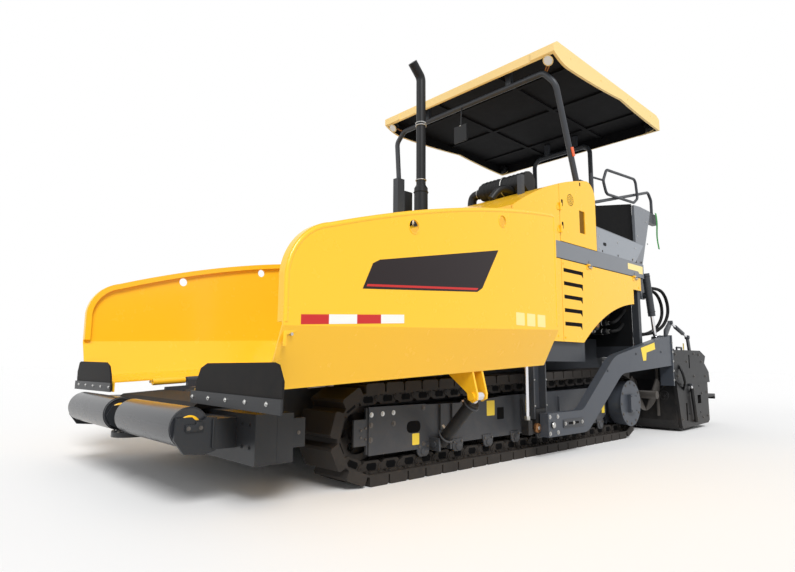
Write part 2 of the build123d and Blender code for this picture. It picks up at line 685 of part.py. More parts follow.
# hoses behind the left lift ram, from fitting to fitting: (x, y, z) of each point of the route
hose_r = 18.0
rear_hose_outer = [(-1426, 985, 1540), (-1668, 990, 1571), (-1912, 1012, 1588), (-2150, 1036, 1590),
                   (-2243, 1050, 1536), (-2297, 1058, 1442), (-2297, 1062, 1334), (-2243, 1058, 1241),
                   (-2136, 1048, 1151), (-1940, 1030, 1079), (-1682, 1004, 1046), (-1426, 985, 1052)]
rear_hose_inner = [(-1426, 922, 1522), (-1662, 930, 1556), (-1896, 950, 1574), (-2126, 976, 1572),
                   (-2218, 990, 1516), (-2272, 1000, 1422), (-2270, 1004, 1313), (-2214, 1000, 1222),
                   (-2106, 988, 1134), (-1914, 968, 1066), (-1670, 940, 1040), (-1426, 922, 1048)]


def hose(route):
    """Tube along a route, each bend as large as the two runs beside it allow."""
    radii = []
    for a, b, c in zip(route, route[1:], route[2:]):
        one, two = Vector(*b) - Vector(*a), Vector(*c) - Vector(*b)
        radii.append(0.45 * min(one.length, two.length) / math.tan(math.radians(one.get_angle(two) / 2)))
    tube = pipe(route, radii, hose_r)
    print("hose bends", [round(r) for r in radii], "volume", round(tube.volume))
    return tube


def off_hood(piece):
    """Trim what stands on the hood to the hood's curved roof."""
    return piece - slab_xz(hood_face(band_z[1], hood_front_x), -hood_inner_w - 1, hood_inner_w + 1)


def make_hopper_back():
    """Upright plate behind the hopper, over the tunnel mouth."""
    x0 = hood_front_x
    return slab_yz([(-1080, 1010), (1080, 1010), (1080, 1560), (960, 1640), (-960, 1640), (-1080, 1560)],
                   x0, x0 + 12)


# ---------------------------------------------------------------- things on the hood
exhaust_x = 763.0


def make_exhaust():
    muffler = bar((exhaust_x, 0, 1900), (exhaust_x, 0, 2390), 66)
    cone = Pos(exhaust_x, 0, 2405) * Cone(66, 48, 30)
    stack = pipe([(exhaust_x, 0, 2400), (exhaust_x, 0, 3520), (exhaust_x + 120, 0, 3640)], 90, 46)
    clamp = bar((exhaust_x, 0, 3020), (exhaust_x, 0, 3050), 50)
    shield = block(exhaust_x - 60, exhaust_x + 40, -190, -178, 1900, 2400)
    shield = shield + block(exhaust_x - 10, exhaust_x + 10, -180, -50, 2100, 2130)
    return off_hood(fuse([muffler, cone, stack, clamp, shield]))


def make_air_cleaner():
    x, z = 60.0, 2446.0
    can = bar((x, 240, z), (x, 760, z), 98)
    cap = bar((x, 205, z), (x, 240, z), 84)
    feet = fuse([block(x - 60, x + 60, y - 20, y + 20, 2250, z - 60) for y in (340.0, 660.0)])
    band = bar((x, 470, z), (x, 500, z), 101)
    return off_hood(fuse([can, cap, feet, band]))


def make_post():
    return off_hood(block(430, 475, body_half_w - 220, body_half_w - 175, 2100, 2372))


# ---------------------------------------------------------------- operator's place
def make_console():
    """Sloping desk across the front of the operator's place, on a post."""
    desk = slab_xz([(-600, 2290), (-600, 2400), (-645, 2432), (-850, 2352), (-860, 2325), (-800, 2290)], -960, 960)
    post = block(-760, -640, -120, 120, band_z[1], 2291)
    return fuse([desk, post])


def make_seat():
    """One seat: base, cushion and back."""
    y = 700.0
    base = block(-1330, -1110, y - 120, y + 120, band_z[1], 2060)
    cushion = block(-1460, -1040, y - 230, y + 230, 2060, 2170)
    back = slab_xz([(-1370, 2170), (-1460, 2170), (-1500, 2455), (-1410, 2465)], y - 220, y + 220)
    return fuse([base, cushion, back])


rail_y = body_half_w - 49.0       # middle of the rail and its post, behind the screen


def make_screen():
    """Dark sheet inside the side walls, filling the space under the rail."""
    return slab_xz([(-580, 1990), (-580, 2268), (-1396, 2452), (-1396, 1990)], body_half_w - 47, body_half_w - 35)


def make_guard_rail():
    """Front post, long rising rail with its box at the rear wall, and the round-cornered loop outside them."""
    loop_y = rail_y + 32
    corners = [(-812, 2690), (-1489, 2744), (-1524, 2535), (-1425, 2468), (-790, 2430), (-732, 2556)]
    path = FilletPolyline(*[(x, loop_y, z) for x, z in corners], radius=[60, 60, 50, 45, 60, 50], close=True)
    start = Plane(origin=path @ 0, z_dir=path % 0)
    loop = sweep(start * Circle(14), path=path)
    post = bar((-560, rail_y, band_z[1]), (-560, rail_y, 2600), 14)
    arm = bar((-560, rail_y, 2560), (-735, loop_y, 2560), 10)
    rail = pipe([(-560, rail_y, 2300), (-1886, rail_y, 2690), (-1962, rail_y, 2610), (-1962, rail_y, 2400)],
                [55, 60], 16)
    clip = bar((-1056, rail_y, 2446), (-1056, loop_y, 2446), 10)
    box = block(-2030, -1790, rail_y - 28, rail_y + 28, 2320, 2438) - station_inside()
    return fuse([post, loop, arm, rail, clip, box])


# ---------------------------------------------------------------- canopy
canopy_under = canopy_top_z - canopy_depth - 12       # lining's lower face
front_hoop_z = canopy_under - 152.0                    # middle of the front hoop's crossbar
rear_hoop_z = canopy_under - 168.0


def canopy_hollow(inset, low, high):
    x0, x1 = canopy_x
    return block(x0 + inset, x1 - inset, -canopy_half_w + inset, canopy_half_w - inset, low, high)


def canopy_body():
    """Outer form: flat roof with a falling edge and a wavy skirt, deeper at the rear."""
    x0, x1 = canopy_x
    top = canopy_top_z
    edge = [Line((x1, top - 114), (x1, top - 42)), Line((x1, top - 42), (x1 - 60, top)),
            Line((x1 - 60, top), (x0 + 80, top - 12)), Line((x0 + 80, top - 12), (x0, top - 46)),
            Line((x0, top - 46), (x0, top - 178)),
            ThreePointArc((x0, top - 178), (x0 + 450, top - 163), (x0 + 995, top - 125)),
            ThreePointArc((x0 + 995, top - 125), (x0 + 1550, top - 170), (x1 - 294, top - 191)),
            ThreePointArc((x1 - 294, top - 191), (x1 - 120, top - 168), (x1, top - 114))]
    return slab_xz(make_face(edge), -canopy_half_w, canopy_half_w)


def make_canopy():
    """Roof shell with corner caps a little proud of the front and rear skirts."""
    x0, x1 = canopy_x
    top = canopy_top_z
    roof = canopy_body() - canopy_hollow(canopy_sheet, top - 300, top - canopy_depth)
    step = canopy_half_w - 250
    roof = roof - block(x1 - 10, x1 + 1, -step, step, top - 300, top + 1)
    roof = roof - block(x0 - 1, x0 + 10, -step, step, top - 300, top + 1)
    return roof


def make_canopy_lining():
    """Black inner skin with its lattice of ribs."""
    x0, x1 = canopy_x
    top = canopy_top_z
    inset = canopy_sheet
    lining = canopy_hollow(inset, top - 300, top - canopy_depth) & canopy_body()
    lining = lining - canopy_hollow(inset + 5, top - 301, canopy_under)
    ribs = [block(x - 24, x + 24, -canopy_half_w + inset + 4, canopy_half_w - inset - 4, canopy_under - 18,
                  canopy_under + 1) for x in (x0 + 420, x0 + 1180, x0 + 1900)]
    ribs += [block(x0 + inset + 4, x1 - inset - 4, y - 24, y + 24, canopy_under - 18, canopy_under + 1)
             for y in (-420.0, 420.0)]
    return fuse([lining, *ribs])


def make_front_hoop():
    """Bent tube across the canopy's front, on the hood at the left and on a tall channel at the right."""
    y = body_half_w - 70
    top, z_top = 70.0, front_hoop_z
    post_z = z_top - 566
    route = [(-345, y, 2300), (top - 40, y, z_top - 126), (top, y - 100, z_top), (top, -y + 100, z_top),
             (top + 20, -y, z_top - 126), (top - 10, -y, post_z - 10)]
    tube = pipe(route, [180, 75, 75, 110], hoop_r)
    foot = block(-380, -290, y - 45, y + 40, 2380, hood_crest_z + 12)
    channel = block(top - 65, top + 45, -y - 40, -y + 40, 2150, post_z)
    studs = [block(top - 22, top + 22, s * 560 - 30, s * 560 + 30, z_top, canopy_under) for s in (-1, 1)]
    return off_hood(fuse([tube, foot, channel, *studs]))


def make_rear_hoop():
    """Hoop behind the operator's place, its feet on the rear wall."""
    y = 400.0
    x, z_top = -1860.0, rear_hoop_z
    tube = pipe([(x, y, 2180), (x, y, z_top), (x, -y, z_top), (x, -y, 2180)], 110, hoop_r)
    feet = [block(x, -1740, s * y - 32, s * y + 32, 2290, 2425) - station_inside() for s in (-1, 1)]
    studs = [block(x - 22, x + 22, s * 200 - 30, s * 200 + 30, z_top, canopy_under) for s in (-1, 1)]
    return fuse([tube, *feet, *studs])


def make_lamps():
    """Round lamps in the canopy's corners."""
    lamps = []
    z = canopy_under - 40
    for x, s in ((canopy_x[1] - 63, 1), (canopy_x[0] + 80, -1)):
        for side in (-1, 1):
            y = side * (canopy_half_w - 90)
            lamps.append(bar((x - s * 40, y, z - 12), (x + s * 30, y, z - 14), 46)
                         + block(x - 30, x - 10, y - 15, y + 15, z, canopy_under))
    return lamps


def make_mirror():
    z = front_hoop_z - 226
    plate_ = block(96, 118, -130, 40, z - 180, z)
    arm = bar((107, -45, z - 5), (90, -45, z + 200), 9)
    return plate_ + arm


# ---------------------------------------------------------------- augers
auger_lead = 250.0
flight_count = 8


def make_auger():
    """Left half of the spreading auger: shaft and flights, each a half turn of flat blade set askew."""
    shaft = bar((auger_x, 70.3, auger_z), (auger_x, 1108, auger_z), 42)
    lean = math.degrees(math.asin(auger_lead / (4 * auger_r)))
    flights = []
    for i in range(flight_count):
        half = ring((0, 0, -6), (0, 0, 6), auger_r, 36) - Pos(-200, 0, 0) * Box(400, 400, 40)
        at = Plane(origin=(auger_x, 165 + i * auger_lead / 2, auger_z), x_dir=(1, 0, 0), z_dir=(0, 1, 0))
        flights.append(at * (Rot(0, 0, 180 * i) * (Rot(lean, 0, 0) * half)))
    return fuse([shaft, *flights])


def make_auger_gearbox():
    return slab_xz([(auger_x - 110, 300), (auger_x + 110, 300), (auger_x + 120, 520), (-1560, 690),
                    (frame_rear_x, 690), (frame_rear_x, 990), (-1560, 980), (-1650, 740), (auger_x - 110, 540)], -70, 70)


# ---------------------------------------------------------------- levelling and tow points
guide_x = (520.0, 700.0)
guide_y = (1085.0, 1160.0)
level_x = 810.0
level_y = 1168.0


def make_levelling():
    """Upright guide for each tow point and the barrel of its levelling ram."""
    y0, y1 = guide_y
    back = block(*guide_x, y0, y0 + 14, 300, 915)
    cheeks = [block(x, x + 14, y0, y1, 300, 915) for x in (guide_x[0], guide_x[1] - 14)]
    barrel = bar((level_x, level_y, 720), (level_x, level_y, 1240), 38)
    seat = [block(level_x - 30, level_x + 30, body_half_w, level_y, z, z + 40) for z in (930.0, 1180.0)]
    barrel = fuse([barrel, *seat])
    barrel = barrel - bar((level_x, level_y, 700), (level_x, level_y, 1200), 16.5)
    side = fuse([back, *cheeks])
    return [side, barrel, right_of(side), right_of(barrel)]


def make_tow_points():
    """Slider in its guide, with the tow pin and the levelling rod."""
    y0 = guide_y[0] + 14 + clear
    slider = block(guide_x[0] + 14 + clear, guide_x[1] - 14 - clear, y0, guide_y[1] + 2, tow_z - 45, tow_z + 120)
    pin = bar((tow_x, guide_y[1], tow_z), (tow_x, arm_y[1] + 12, tow_z), 24)
    foot = block(tow_x + 40, level_x + 26, guide_y[1] - 28, guide_y[1] + 8, 192, 222)
    cup = block(level_x - 26, level_x + 26, level_y - 34, level_y + 26, 192, 300)
    rod = bar((level_x, level_y, 250), (level_x, level_y, 1050), 16)
    return fuse([slider, pin, foot, cup, rod])


# ---------------------------------------------------------------- screed
def arm_face():
    outline = [(650, 345), (115, 345), (-500, 800), (-1500, 985), (-1830, 1035), (-1830, 715), (-640, 640),
               (40, 165), (650, 165)]
    face = make_face(Polyline(*outline, close=True))
    corners = {1: 150, 2: 420, 6: 260, 7: 200}
    for index, radius in corners.items():
        x, z = outline[index]
        vertex = sorted(face.vertices(), key=lambda v: math.hypot(v.X - x, v.Y - z))[0]
        face = fillet(vertex, radius)
    return face


def make_tow_arm():
    arm = slab_xz(arm_face(), arm_y[0], arm_y[1])
    arm = arm - bar((tow_x, 1100, tow_z), (tow_x, 1300, tow_z), 24.6)
    end = block(-1850, -1826, 1120, arm_y[1] + 8, 500, 1040)
    lug = slab_xz([(-1800, 900), (-1800, 1010), (-1745, 1040), (-1690, 1010), (-1690, 900)],
                  arm_y[0] - 8, arm_y[0] + 1)
    return fuse([arm, end, lug])


def screed_outline():
    f, r = screed_front_x, screed_rear_x
    return [(f - 60, sole_z), (f, 120), (f + 20, 560), (f - 40, 700), (f - 200, 760), (r + 160, 760),
            (r + 30, 600), (r, 260), (r + 20, sole_z + 36)]


def make_screed_box():
    return slab_xz(screed_outline(), -1200, 1200)


def make_screed_cheek():
    """End plate, the bolted upper plate outside it with its stepped rear edge, slots and window."""
    f, r = screed_front_x, screed_rear_x
    y = screed_half_w - 14
    lower = [(f - 70, sole_z + 8), (f - 40, 90), (f + 62, 600), (f + 62, 820), (r + 30, 820), (r + 30, 640),
             (r - 60, 600), (r - 60, 80), (r - 10, sole_z + 26)]
    upper = [(f + 100, 560), (f + 150, 885), (f - 690, 890), (r - 8, 826), (r + 40, 744), (r - 92, 640),
             (r - 108, 520), (f - 20, 505)]
    plate_ = slab_xz(lower, 1200, y) + slab_xz(upper, y - 1, y + 12)
    for x, z, w, h in ((f - 210, 205, 40, 190), (f - 610, 330, 110, 96), (f - 330, 760, 30, 150)):
        plate_ = plate_ - block(x - w / 2, x + w / 2, 1100, 1300, z - h / 2, z + h / 2)
    ties = block(-1850, f - 40, 1120, 1201, 640, 900) - slab_xz(screed_outline(), -1200, 1200)
    for x in (f - 280, f - 620):
        for z in (180.0, 480.0):
            plate_ = plate_ - bar((x, 1100, z), (x, 1300, z), 11)
    return plate_ + ties


def make_walkway():
    x0, x1 = walk_rear_x, screed_rear_x + 10
    board = block(x0, x1, -1150, 1150, 330, 363)
    lip = block(x0, x0 + 12, -1150, 1150, 300, 364)
    stays = [block(x1 - 20, x1 + 20, y - 30, y + 30, 300, 520) for y in (-900.0, 0.0, 900.0)]
    return fuse([board, lip, *stays]) - slab_xz(screed_outline(), -1200, 1200)


# ---------------------------------------------------------------- lift rams
def lift_axis():
    dx, dz = lift_eye[0] - lift_top[0], lift_eye[1] - lift_top[1]
    size = math.hypot(dx, dz)
    return dx / size, dz / size, size


def lift_at(distance):
    dx, dz, _ = lift_axis()
    return (lift_top[0] + dx * distance, lift_y, lift_top[1] + dz * distance)


def make_lift_barrel():
    """Barrel hung on a trunnion at its inner side."""
    barrel = bar(lift_at(-240), lift_at(228), 38)
    boss = bar((lift_top[0], trunnion_y, lift_top[1]), (lift_top[0], lift_y - 22, lift_top[1]), 34)
    hole = bar((lift_top[0], 1000, lift_top[1]), (lift_top[0], trunnion_y + 9, lift_top[1]), 16.5)
    return barrel + boss - hole - bar(lift_at(-200), lift_at(300), 20.5)


def make_lift_rod():
    _, _, size = lift_axis()
    rod = bar(lift_at(70), lift_at(size), 20)
    eye = bar((lift_eye[0], lift_y - 30, lift_eye[1]), (lift_eye[0], lift_y + 30, lift_eye[1]), 34)
    return rod + eye


# ---------------------------------------------------------------- nodes
nodes = {}
track = make_track()
nodes["track_left"] = [track]
nodes["track_right"] = [right_of(track)]
nodes["track_frames"] = both(make_track_frame())
nodes["track_idlers"] = both(make_idler())
nodes["track_rollers"] = [p for r in [fuse(make_rollers()[i * 3:i * 3 + 3]) for i in range(roller_count)]
                          for p in both(r)]
nodes["final_drives"] = both(make_final_drive())
nodes["main_frame"] = [make_main_frame()]
nodes["conveyor"] = [make_conveyor()]
nodes["front_beam"] = [make_front_beam()]
nodes["hopper_apron"] = [make_apron()]
nodes["push_beam"] = [make_push_beam()]
roller = make_push_roller()
nodes["push_roller_left"] = [roller]
nodes["push_roller_right"] = [right_of(roller)]
for name, maker in (("wing", make_wing), ("wing_flap", make_wing_flap), ("flap_strip", make_flap_strip),
                    ("hopper_barrel", make_ram_barrel), ("hopper_rod", make_ram_rod),
                    ("upper_door", make_upper_door), ("lower_door", make_lower_door), ("auger", make_auger)):
    piece = maker()
    nodes[name + "_left"] = [piece]
    nodes[name + "_right"] = [right_of(piece)]
nodes["engine_hood"] = [make_hood()]
nodes["engine_block"] = [make_engine()]
nodes["deck"] = [make_deck()]
nodes["hopper_back"] = [make_hopper_back()]
nodes["exhaust"] = [make_exhaust()]
nodes["air_cleaner"] = [make_air_cleaner()]
nodes["hood_post"] = [make_post()]
nodes["operator_console"] = [make_console()]
nodes["seats"] = both(make_seat())
nodes["guard_rails"] = both(make_guard_rail())
nodes["side_screens"] = both(make_screen())
nodes["pump_bay"] = make_pump_bay()
nodes["rear_hose_outer"] = [hose(rear_hose_outer)]
nodes["rear_hose_inner"] = [hose(rear_hose_inner)]
nodes["canopy_roof"] = [make_canopy()]
nodes["canopy_lining"] = [make_canopy_lining()]
nodes["canopy_front_hoop"] = [make_front_hoop()]
nodes["canopy_rear_hoop"] = [make_rear_hoop()]
nodes["canopy_lamps"] = make_lamps()
nodes["mirror"] = [make_mirror()]
nodes["auger_gearbox"] = [make_auger_gearbox()]
nodes["levelling_guides"] = make_levelling()
nodes["tow_points"] = both(make_tow_points())
nodes["tow_arms"] = both(make_tow_arm())
nodes["screed_box"] = [make_screed_box()]
nodes["screed_cheeks"] = both(make_screed_cheek())
nodes["screed_walkway"] = [make_walkway()]
nodes["lift_barrels"] = both(make_lift_barrel())
nodes["lift_rods"] = both(make_lift_rod())

os.makedirs("parts", exist_ok=True)
for name, pieces in nodes.items():
    solids = [solid for piece in pieces for solid in piece.solids()]
    shape = solids[0] if len(solids) == 1 else Compound(children=solids)
    export_step(shape, f"parts/{name}.step")
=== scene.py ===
"""Looks of a tracked asphalt paver: paint, track shoes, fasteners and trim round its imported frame."""

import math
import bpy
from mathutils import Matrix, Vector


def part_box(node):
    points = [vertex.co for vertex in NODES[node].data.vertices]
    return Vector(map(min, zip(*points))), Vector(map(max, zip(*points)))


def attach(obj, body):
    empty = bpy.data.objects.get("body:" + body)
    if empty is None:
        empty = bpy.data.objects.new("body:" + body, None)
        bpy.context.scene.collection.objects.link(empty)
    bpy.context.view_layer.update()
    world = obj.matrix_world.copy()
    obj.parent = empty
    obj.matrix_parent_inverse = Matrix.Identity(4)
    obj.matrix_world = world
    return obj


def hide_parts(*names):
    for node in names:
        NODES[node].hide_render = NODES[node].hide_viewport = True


bl_info = {
    "name": "Tracked Paver Dressing",
    "version": (1, 0, 0),
    "blender": (4, 5, 0),
    "location": "View3D > Sidebar > Paver",
    "description": "Paints a tracked asphalt paver and adds its shoes, bolts and trim",
    "category": "Object",
}

import bmesh
import bpy
from mathutils import Matrix, Vector

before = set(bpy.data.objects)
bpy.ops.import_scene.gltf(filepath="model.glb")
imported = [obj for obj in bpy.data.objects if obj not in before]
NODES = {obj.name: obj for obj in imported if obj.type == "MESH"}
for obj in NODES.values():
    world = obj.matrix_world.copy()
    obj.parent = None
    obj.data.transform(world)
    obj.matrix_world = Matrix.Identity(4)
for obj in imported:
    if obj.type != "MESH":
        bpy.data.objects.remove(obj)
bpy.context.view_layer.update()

FRONT, SIDE, UP = (1, 0, 0), (0, 1, 0), (0, 0, 1)
CREASE = math.radians(35)        # edges sharper than this are shown sharp


# ---------------------------------------------------------------- shapes
def facing(axis):
    """Turn that takes +Z to the axis."""
    return Vector(UP).rotation_difference(Vector(axis).normalized()).to_matrix().to_4x4()


def soften(bm, width):
    """Round the sharp edges of a closed shape."""
    bm.normal_update()
    edges = [e for e in bm.edges if len(e.link_faces) == 2 and e.calc_face_angle(0) > math.radians(30)]
    bmesh.ops.bevel(bm, geom=edges, offset=width, offset_type="OFFSET", segments=2, profile=0.5,
                    affect="EDGES", material=-1)


def join(bm, part, slot=0, edge=0.0, place=None):
    """Round a small closed shape, put it in place and add it to the piece."""
    if edge:
        soften(part, edge)
    if place is not None:
        bmesh.ops.transform(part, matrix=place, verts=part.verts)
    bmesh.ops.recalc_face_normals(part, faces=part.faces)
    for face in part.faces:
        face.material_index = slot
    mesh = bpy.data.meshes.new("part")
    part.to_mesh(mesh)
    part.free()
    bm.from_mesh(mesh)
    bpy.data.meshes.remove(mesh)


def add_box(bm, low, high, slot=0, edge=0.0, place=None):
    """Box between two corners."""
    part = bmesh.new()
    low, high = Vector(low), Vector(high)
    bmesh.ops.create_cube(part, size=1.0, matrix=Matrix.LocRotScale((low + high) / 2, None, high - low))
    join(bm, part, slot, edge, place)


def add_rod(bm, a, b, r, slot=0, sides=24, r_end=None, edge=0.0):
    """Round bar from a to b, as wide as r_end at b."""
    part = bmesh.new()
    a, b = Vector(a), Vector(b)
    place = Matrix.Translation((a + b) / 2) @ facing(b - a)
    bmesh.ops.create_cone(part, cap_ends=True, cap_tris=False, segments=sides, radius1=r,
                          radius2=r if r_end is None else r_end, depth=(b - a).length, matrix=place)
    join(bm, part, slot, edge)


def add_cross_rod(bm, x, z, y0, y1, *shape):
    """Round bar across the machine at x and z."""
    add_rod(bm, (x, y0, z), (x, y1, z), *shape)


def add_plate(bm, y, outline, depth, slot=0, edge=0.0):
    """Upright plate drawn in x and z, standing out to the left at y by its depth."""
    part = bmesh.new()
    face = part.faces.new([part.verts.new((u, v, 0)) for u, v in outline])
    walls = bmesh.ops.extrude_face_region(part, geom=[face])["geom"]
    top = [v for v in walls if isinstance(v, bmesh.types.BMVert)]
    bmesh.ops.translate(part, vec=(0, 0, depth), verts=top)
    join(bm, part, slot, edge, Matrix(((1, 0, 0, 0), (0, 0, 1, y), (0, 1, 0, 0), (0, 0, 0, 1))))


def add_ring(bm, at, axis, r, thick, slot=0, sides=32, tube=8):
    """Round wire ring about an axis."""
    part = bmesh.new()
    start = (Matrix.Translation(at) @ facing(axis) @ Matrix.Translation((r, 0, 0))
             @ Matrix.Rotation(math.radians(90), 4, "X"))
    circle = bmesh.ops.create_circle(part, cap_ends=False, segments=tube, radius=thick, matrix=start)["verts"]
    geom = circle + list({e for v in circle for e in v.link_edges})
    bmesh.ops.spin(part, geom=geom, cent=Vector(at), axis=Vector(axis).normalized(), angle=math.tau,
                   steps=sides, use_merge=True, use_normal_flip=False, use_duplicate=False)
    join(bm, part, slot)


def add_tube(bm, points, r, slot=0, sides=12):
    """Round tube through the points, made of one ring at each."""
    part = bmesh.new()
    points = [Vector(p) for p in points]
    rings = []
    for i, p in enumerate(points):
        ahead = (points[min(i + 1, len(points) - 1)] - points[max(i - 1, 0)]).normalized()
        ring = bmesh.ops.create_circle(part, cap_ends=False, segments=sides, radius=r,
                                       matrix=Matrix.Translation(p) @ facing(ahead))["verts"]
        rings.append(list({e for v in ring for e in v.link_edges}))
    for near, far in zip(rings, rings[1:]):
        bmesh.ops.bridge_loops(part, edges=near + far)
    bmesh.ops.contextual_create(part, geom=rings[0])
    bmesh.ops.contextual_create(part, geom=rings[-1])
    join(bm, part, slot)


def add_bolt(bm, at, axis, r, height, slot=0, washer=True):
    """Hexagon bolt head on its washer, standing on the surface at the point."""
    at, axis = Vector(at), Vector(axis).normalized()
    if washer:
        add_rod(bm, at - axis * 0.001, at + axis * 0.0022, r * 1.55, slot, 14)
    add_rod(bm, at, at + axis * height, r, slot, 6, r * 0.93)


def add_side_bolts(bm, y, spots, r, height, slot=0, washer=True):
    """Bolt heads on an upright face at y, at places given in x and z."""
    for x, z in spots:
        add_bolt(bm, (x, y, z), SIDE, r, height, slot, washer)


def add_wheel(bm, at, axis, r, slot=0):
    """Hand wheel: rim, hub and three spokes."""
    turn = Matrix.Translation(at) @ facing(axis)
    add_ring(bm, at, axis, r, r * 0.11, slot, 28)
    add_rod(bm, turn @ Vector((0, 0, -r * 0.25)), turn @ Vector((0, 0, r * 0.25)), r * 0.24, slot, 16, None,
            r * 0.03)
    for x, y in round_spots(0, 0, r, 3):
        add_rod(bm, turn @ Vector((0, 0, 0)), turn @ Vector((x, y, 0)), r * 0.08, slot, 8)


def round_spots(x, z, r, count, start=0.0):
    """Places spread evenly round a circle."""
    turns = [math.tau * (i + start) / count for i in range(count)]
    return [(x + r * math.cos(a), z + r * math.sin(a)) for a in turns]


def rounded(x0, x1, z0, z1, r, steps=4):
    """Outline of a rectangle with round corners."""
    outline = []
    for cx, cz, start in ((x1 - r, z1 - r, 0), (x0 + r, z1 - r, 90), (x0 + r, z0 + r, 180),
                          (x1 - r, z0 + r, 270)):
        for i in range(steps + 1):
            a = math.radians(start + 90 * i / steps)
            outline.append((cx + r * math.cos(a), cz + r * math.sin(a)))
    return outline


def arc(a, b, c, inset, steps):
    """Points of the arc from a through b to c, moved towards its centre by inset."""
    a, b, c = Vector(a), Vector(b), Vector(c)
    one, two = b - a, c - a
    cross = 2 * (one.x * two.y - one.y * two.x)
    centre = a + Vector((two.y * one.length_squared - one.y * two.length_squared,
                         one.x * two.length_squared - two.x * one.length_squared)) / cross
    start, end = a - centre, c - centre
    turn, share = start.angle_signed(end), 1 - inset / start.length
    return [centre + start * share @ Matrix.Rotation(turn * i / steps, 2) for i in range(steps + 1)]


def eased(points):
    """Route with its corners cut round."""
    points = [Vector(p) for p in points]
    for _ in range(3):
        inner = []
        for a, b in zip(points, points[1:]):
            inner += [a.lerp(b, 0.25), a.lerp(b, 0.75)]
        points = [points[0], *inner[1:-1], points[-1]]
    return points


def other_side(bm):
    """Turn a left piece into its right mate."""
    bmesh.ops.scale(bm, vec=(1, -1, 1), verts=bm.verts)
    bmesh.ops.reverse_faces(bm, faces=bm.faces)


def mirrored(bm):
    """Add the mirror image of the piece so far on the machine's other side."""
    mesh = bpy.data.meshes.new("half")
    bm.to_mesh(mesh)
    other_side(bm)
    bm.from_mesh(mesh)
    bpy.data.meshes.remove(mesh)


def finish_piece(bm, name, body, materials):
    """Turn a bmesh into a finished object that rides on a body."""
    mesh = bpy.data.meshes.new(name)
    bm.normal_update()
    bm.to_mesh(mesh)
    bm.free()
    for key in materials:
        mesh.materials.append(PAINTS[key])
    mesh.shade_smooth()
    mesh.set_sharp_from_angle(angle=CREASE)
    piece = bpy.data.objects.new(name, mesh)
    bpy.context.scene.collection.objects.link(piece)
    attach(piece, body)
    return piece


def finish_pair(bm, name, body, materials):
    """Finish a left piece and its right mate, with left or right put in their names."""
    right = bm.copy()
    other_side(right)
    finish_piece(bm, name.format("left"), body.format("left"), materials)
    finish_piece(right, name.format("right"), body.format("right"), materials)


# ---------------------------------------------------------------- finishes
PAINTS = {}


def add_node(tree, kind, inputs, **settings):
    """New shader node, with its settings made and its inputs set or linked."""
    node = tree.nodes.new("ShaderNode" + kind)
    for key, value in settings.items():
        setattr(node, key, value)
    for key, value in inputs.items():
        if isinstance(value, bpy.types.NodeSocket):
            tree.links.new(value, node.inputs[key])
        else:
            node.inputs[key].default_value = value
    return node


def calc(tree, operation, *values):
    """Result of a Math node on the values."""
    return add_node(tree, "Math", dict(enumerate(values)), operation=operation).outputs[0]


def noise(tree, place, scale, detail, roughness=0.5):
    """Strength of a noise at the place."""
    return add_node(tree, "TexNoise", {"Vector": place, "Scale": scale, "Detail": detail,
                                       "Roughness": roughness}).outputs["Fac"]


def seen_plainly(tree):
    """1 for what the camera and reflections see, 0 for the light that falls on things."""
    path = add_node(tree, "LightPath", {}).outputs
    return calc(tree, "MAXIMUM", path["Is Camera Ray"], path["Is Glossy Ray"])


def make_surface_group():
    """Even paint that drifts in tone, gathers dust near the ground and has a fine peel."""
    group = bpy.data.node_groups.new("Site surface", "ShaderNodeTree")
    colour, number = "NodeSocketColor", "NodeSocketFloat"
    for label, kind, value in (("Base", colour, (0.8, 0.8, 0.8, 1)),
                               ("Dust Colour", colour, (0.25, 0.21, 0.17, 1)),
                               ("Tone Drift", number, 0.05), ("Dust", number, 0.2),
                               ("Dust Height", number, 0.9), ("Gloss", number, 0.35),
                               ("Grain", number, 120.0)):
        group.interface.new_socket(name=label, in_out="INPUT", socket_type=kind).default_value = value
    for label, kind in (("Color", colour), ("Roughness", number), ("Height", number)):
        group.interface.new_socket(name=label, in_out="OUTPUT", socket_type=kind)
    given = group.nodes.new("NodeGroupInput").outputs
    place = add_node(group, "TexCoord", {}).outputs["Object"]
    smudge = noise(group, place, 9.0, 6.0, 0.65)

    drift = calc(group, "MULTIPLY_ADD", noise(group, place, 1.7, 4.0), given["Tone Drift"], 1.0)
    level = calc(group, "MULTIPLY_ADD", given["Tone Drift"], -0.5, drift)
    toned = add_node(group, "VectorMath", {0: given["Base"], "Scale": level}, operation="SCALE").outputs[0]

    height = add_node(group, "SeparateXYZ", {0: place}).outputs["Z"]
    fall = add_node(group, "MapRange", {"Value": height, "From Min": 0.0, "From Max": given["Dust Height"],
                                        "To Min": 1.0, "To Max": 0.0}).outputs[0]
    patch = add_node(group, "MapRange", {"Value": smudge, "From Min": 0.35, "From Max": 0.75,
                                         "To Min": 0.15}).outputs[0]
    dusty = calc(group, "MULTIPLY", calc(group, "MULTIPLY", fall, patch), given["Dust"])
    mix = add_node(group, "Mix", {"Factor": dusty, "A": toned, "B": given["Dust Colour"]}, data_type="RGBA")
    rough = calc(group, "MULTIPLY_ADD", smudge, 0.12, given["Gloss"])

    out = group.nodes.new("NodeGroupOutput").inputs
    group.links.new(mix.outputs["Result"], out["Color"])
    group.links.new(calc(group, "MULTIPLY_ADD", dusty, 0.4, rough), out["Roughness"])
    group.links.new(noise(group, place, given["Grain"], 3.0), out["Height"])


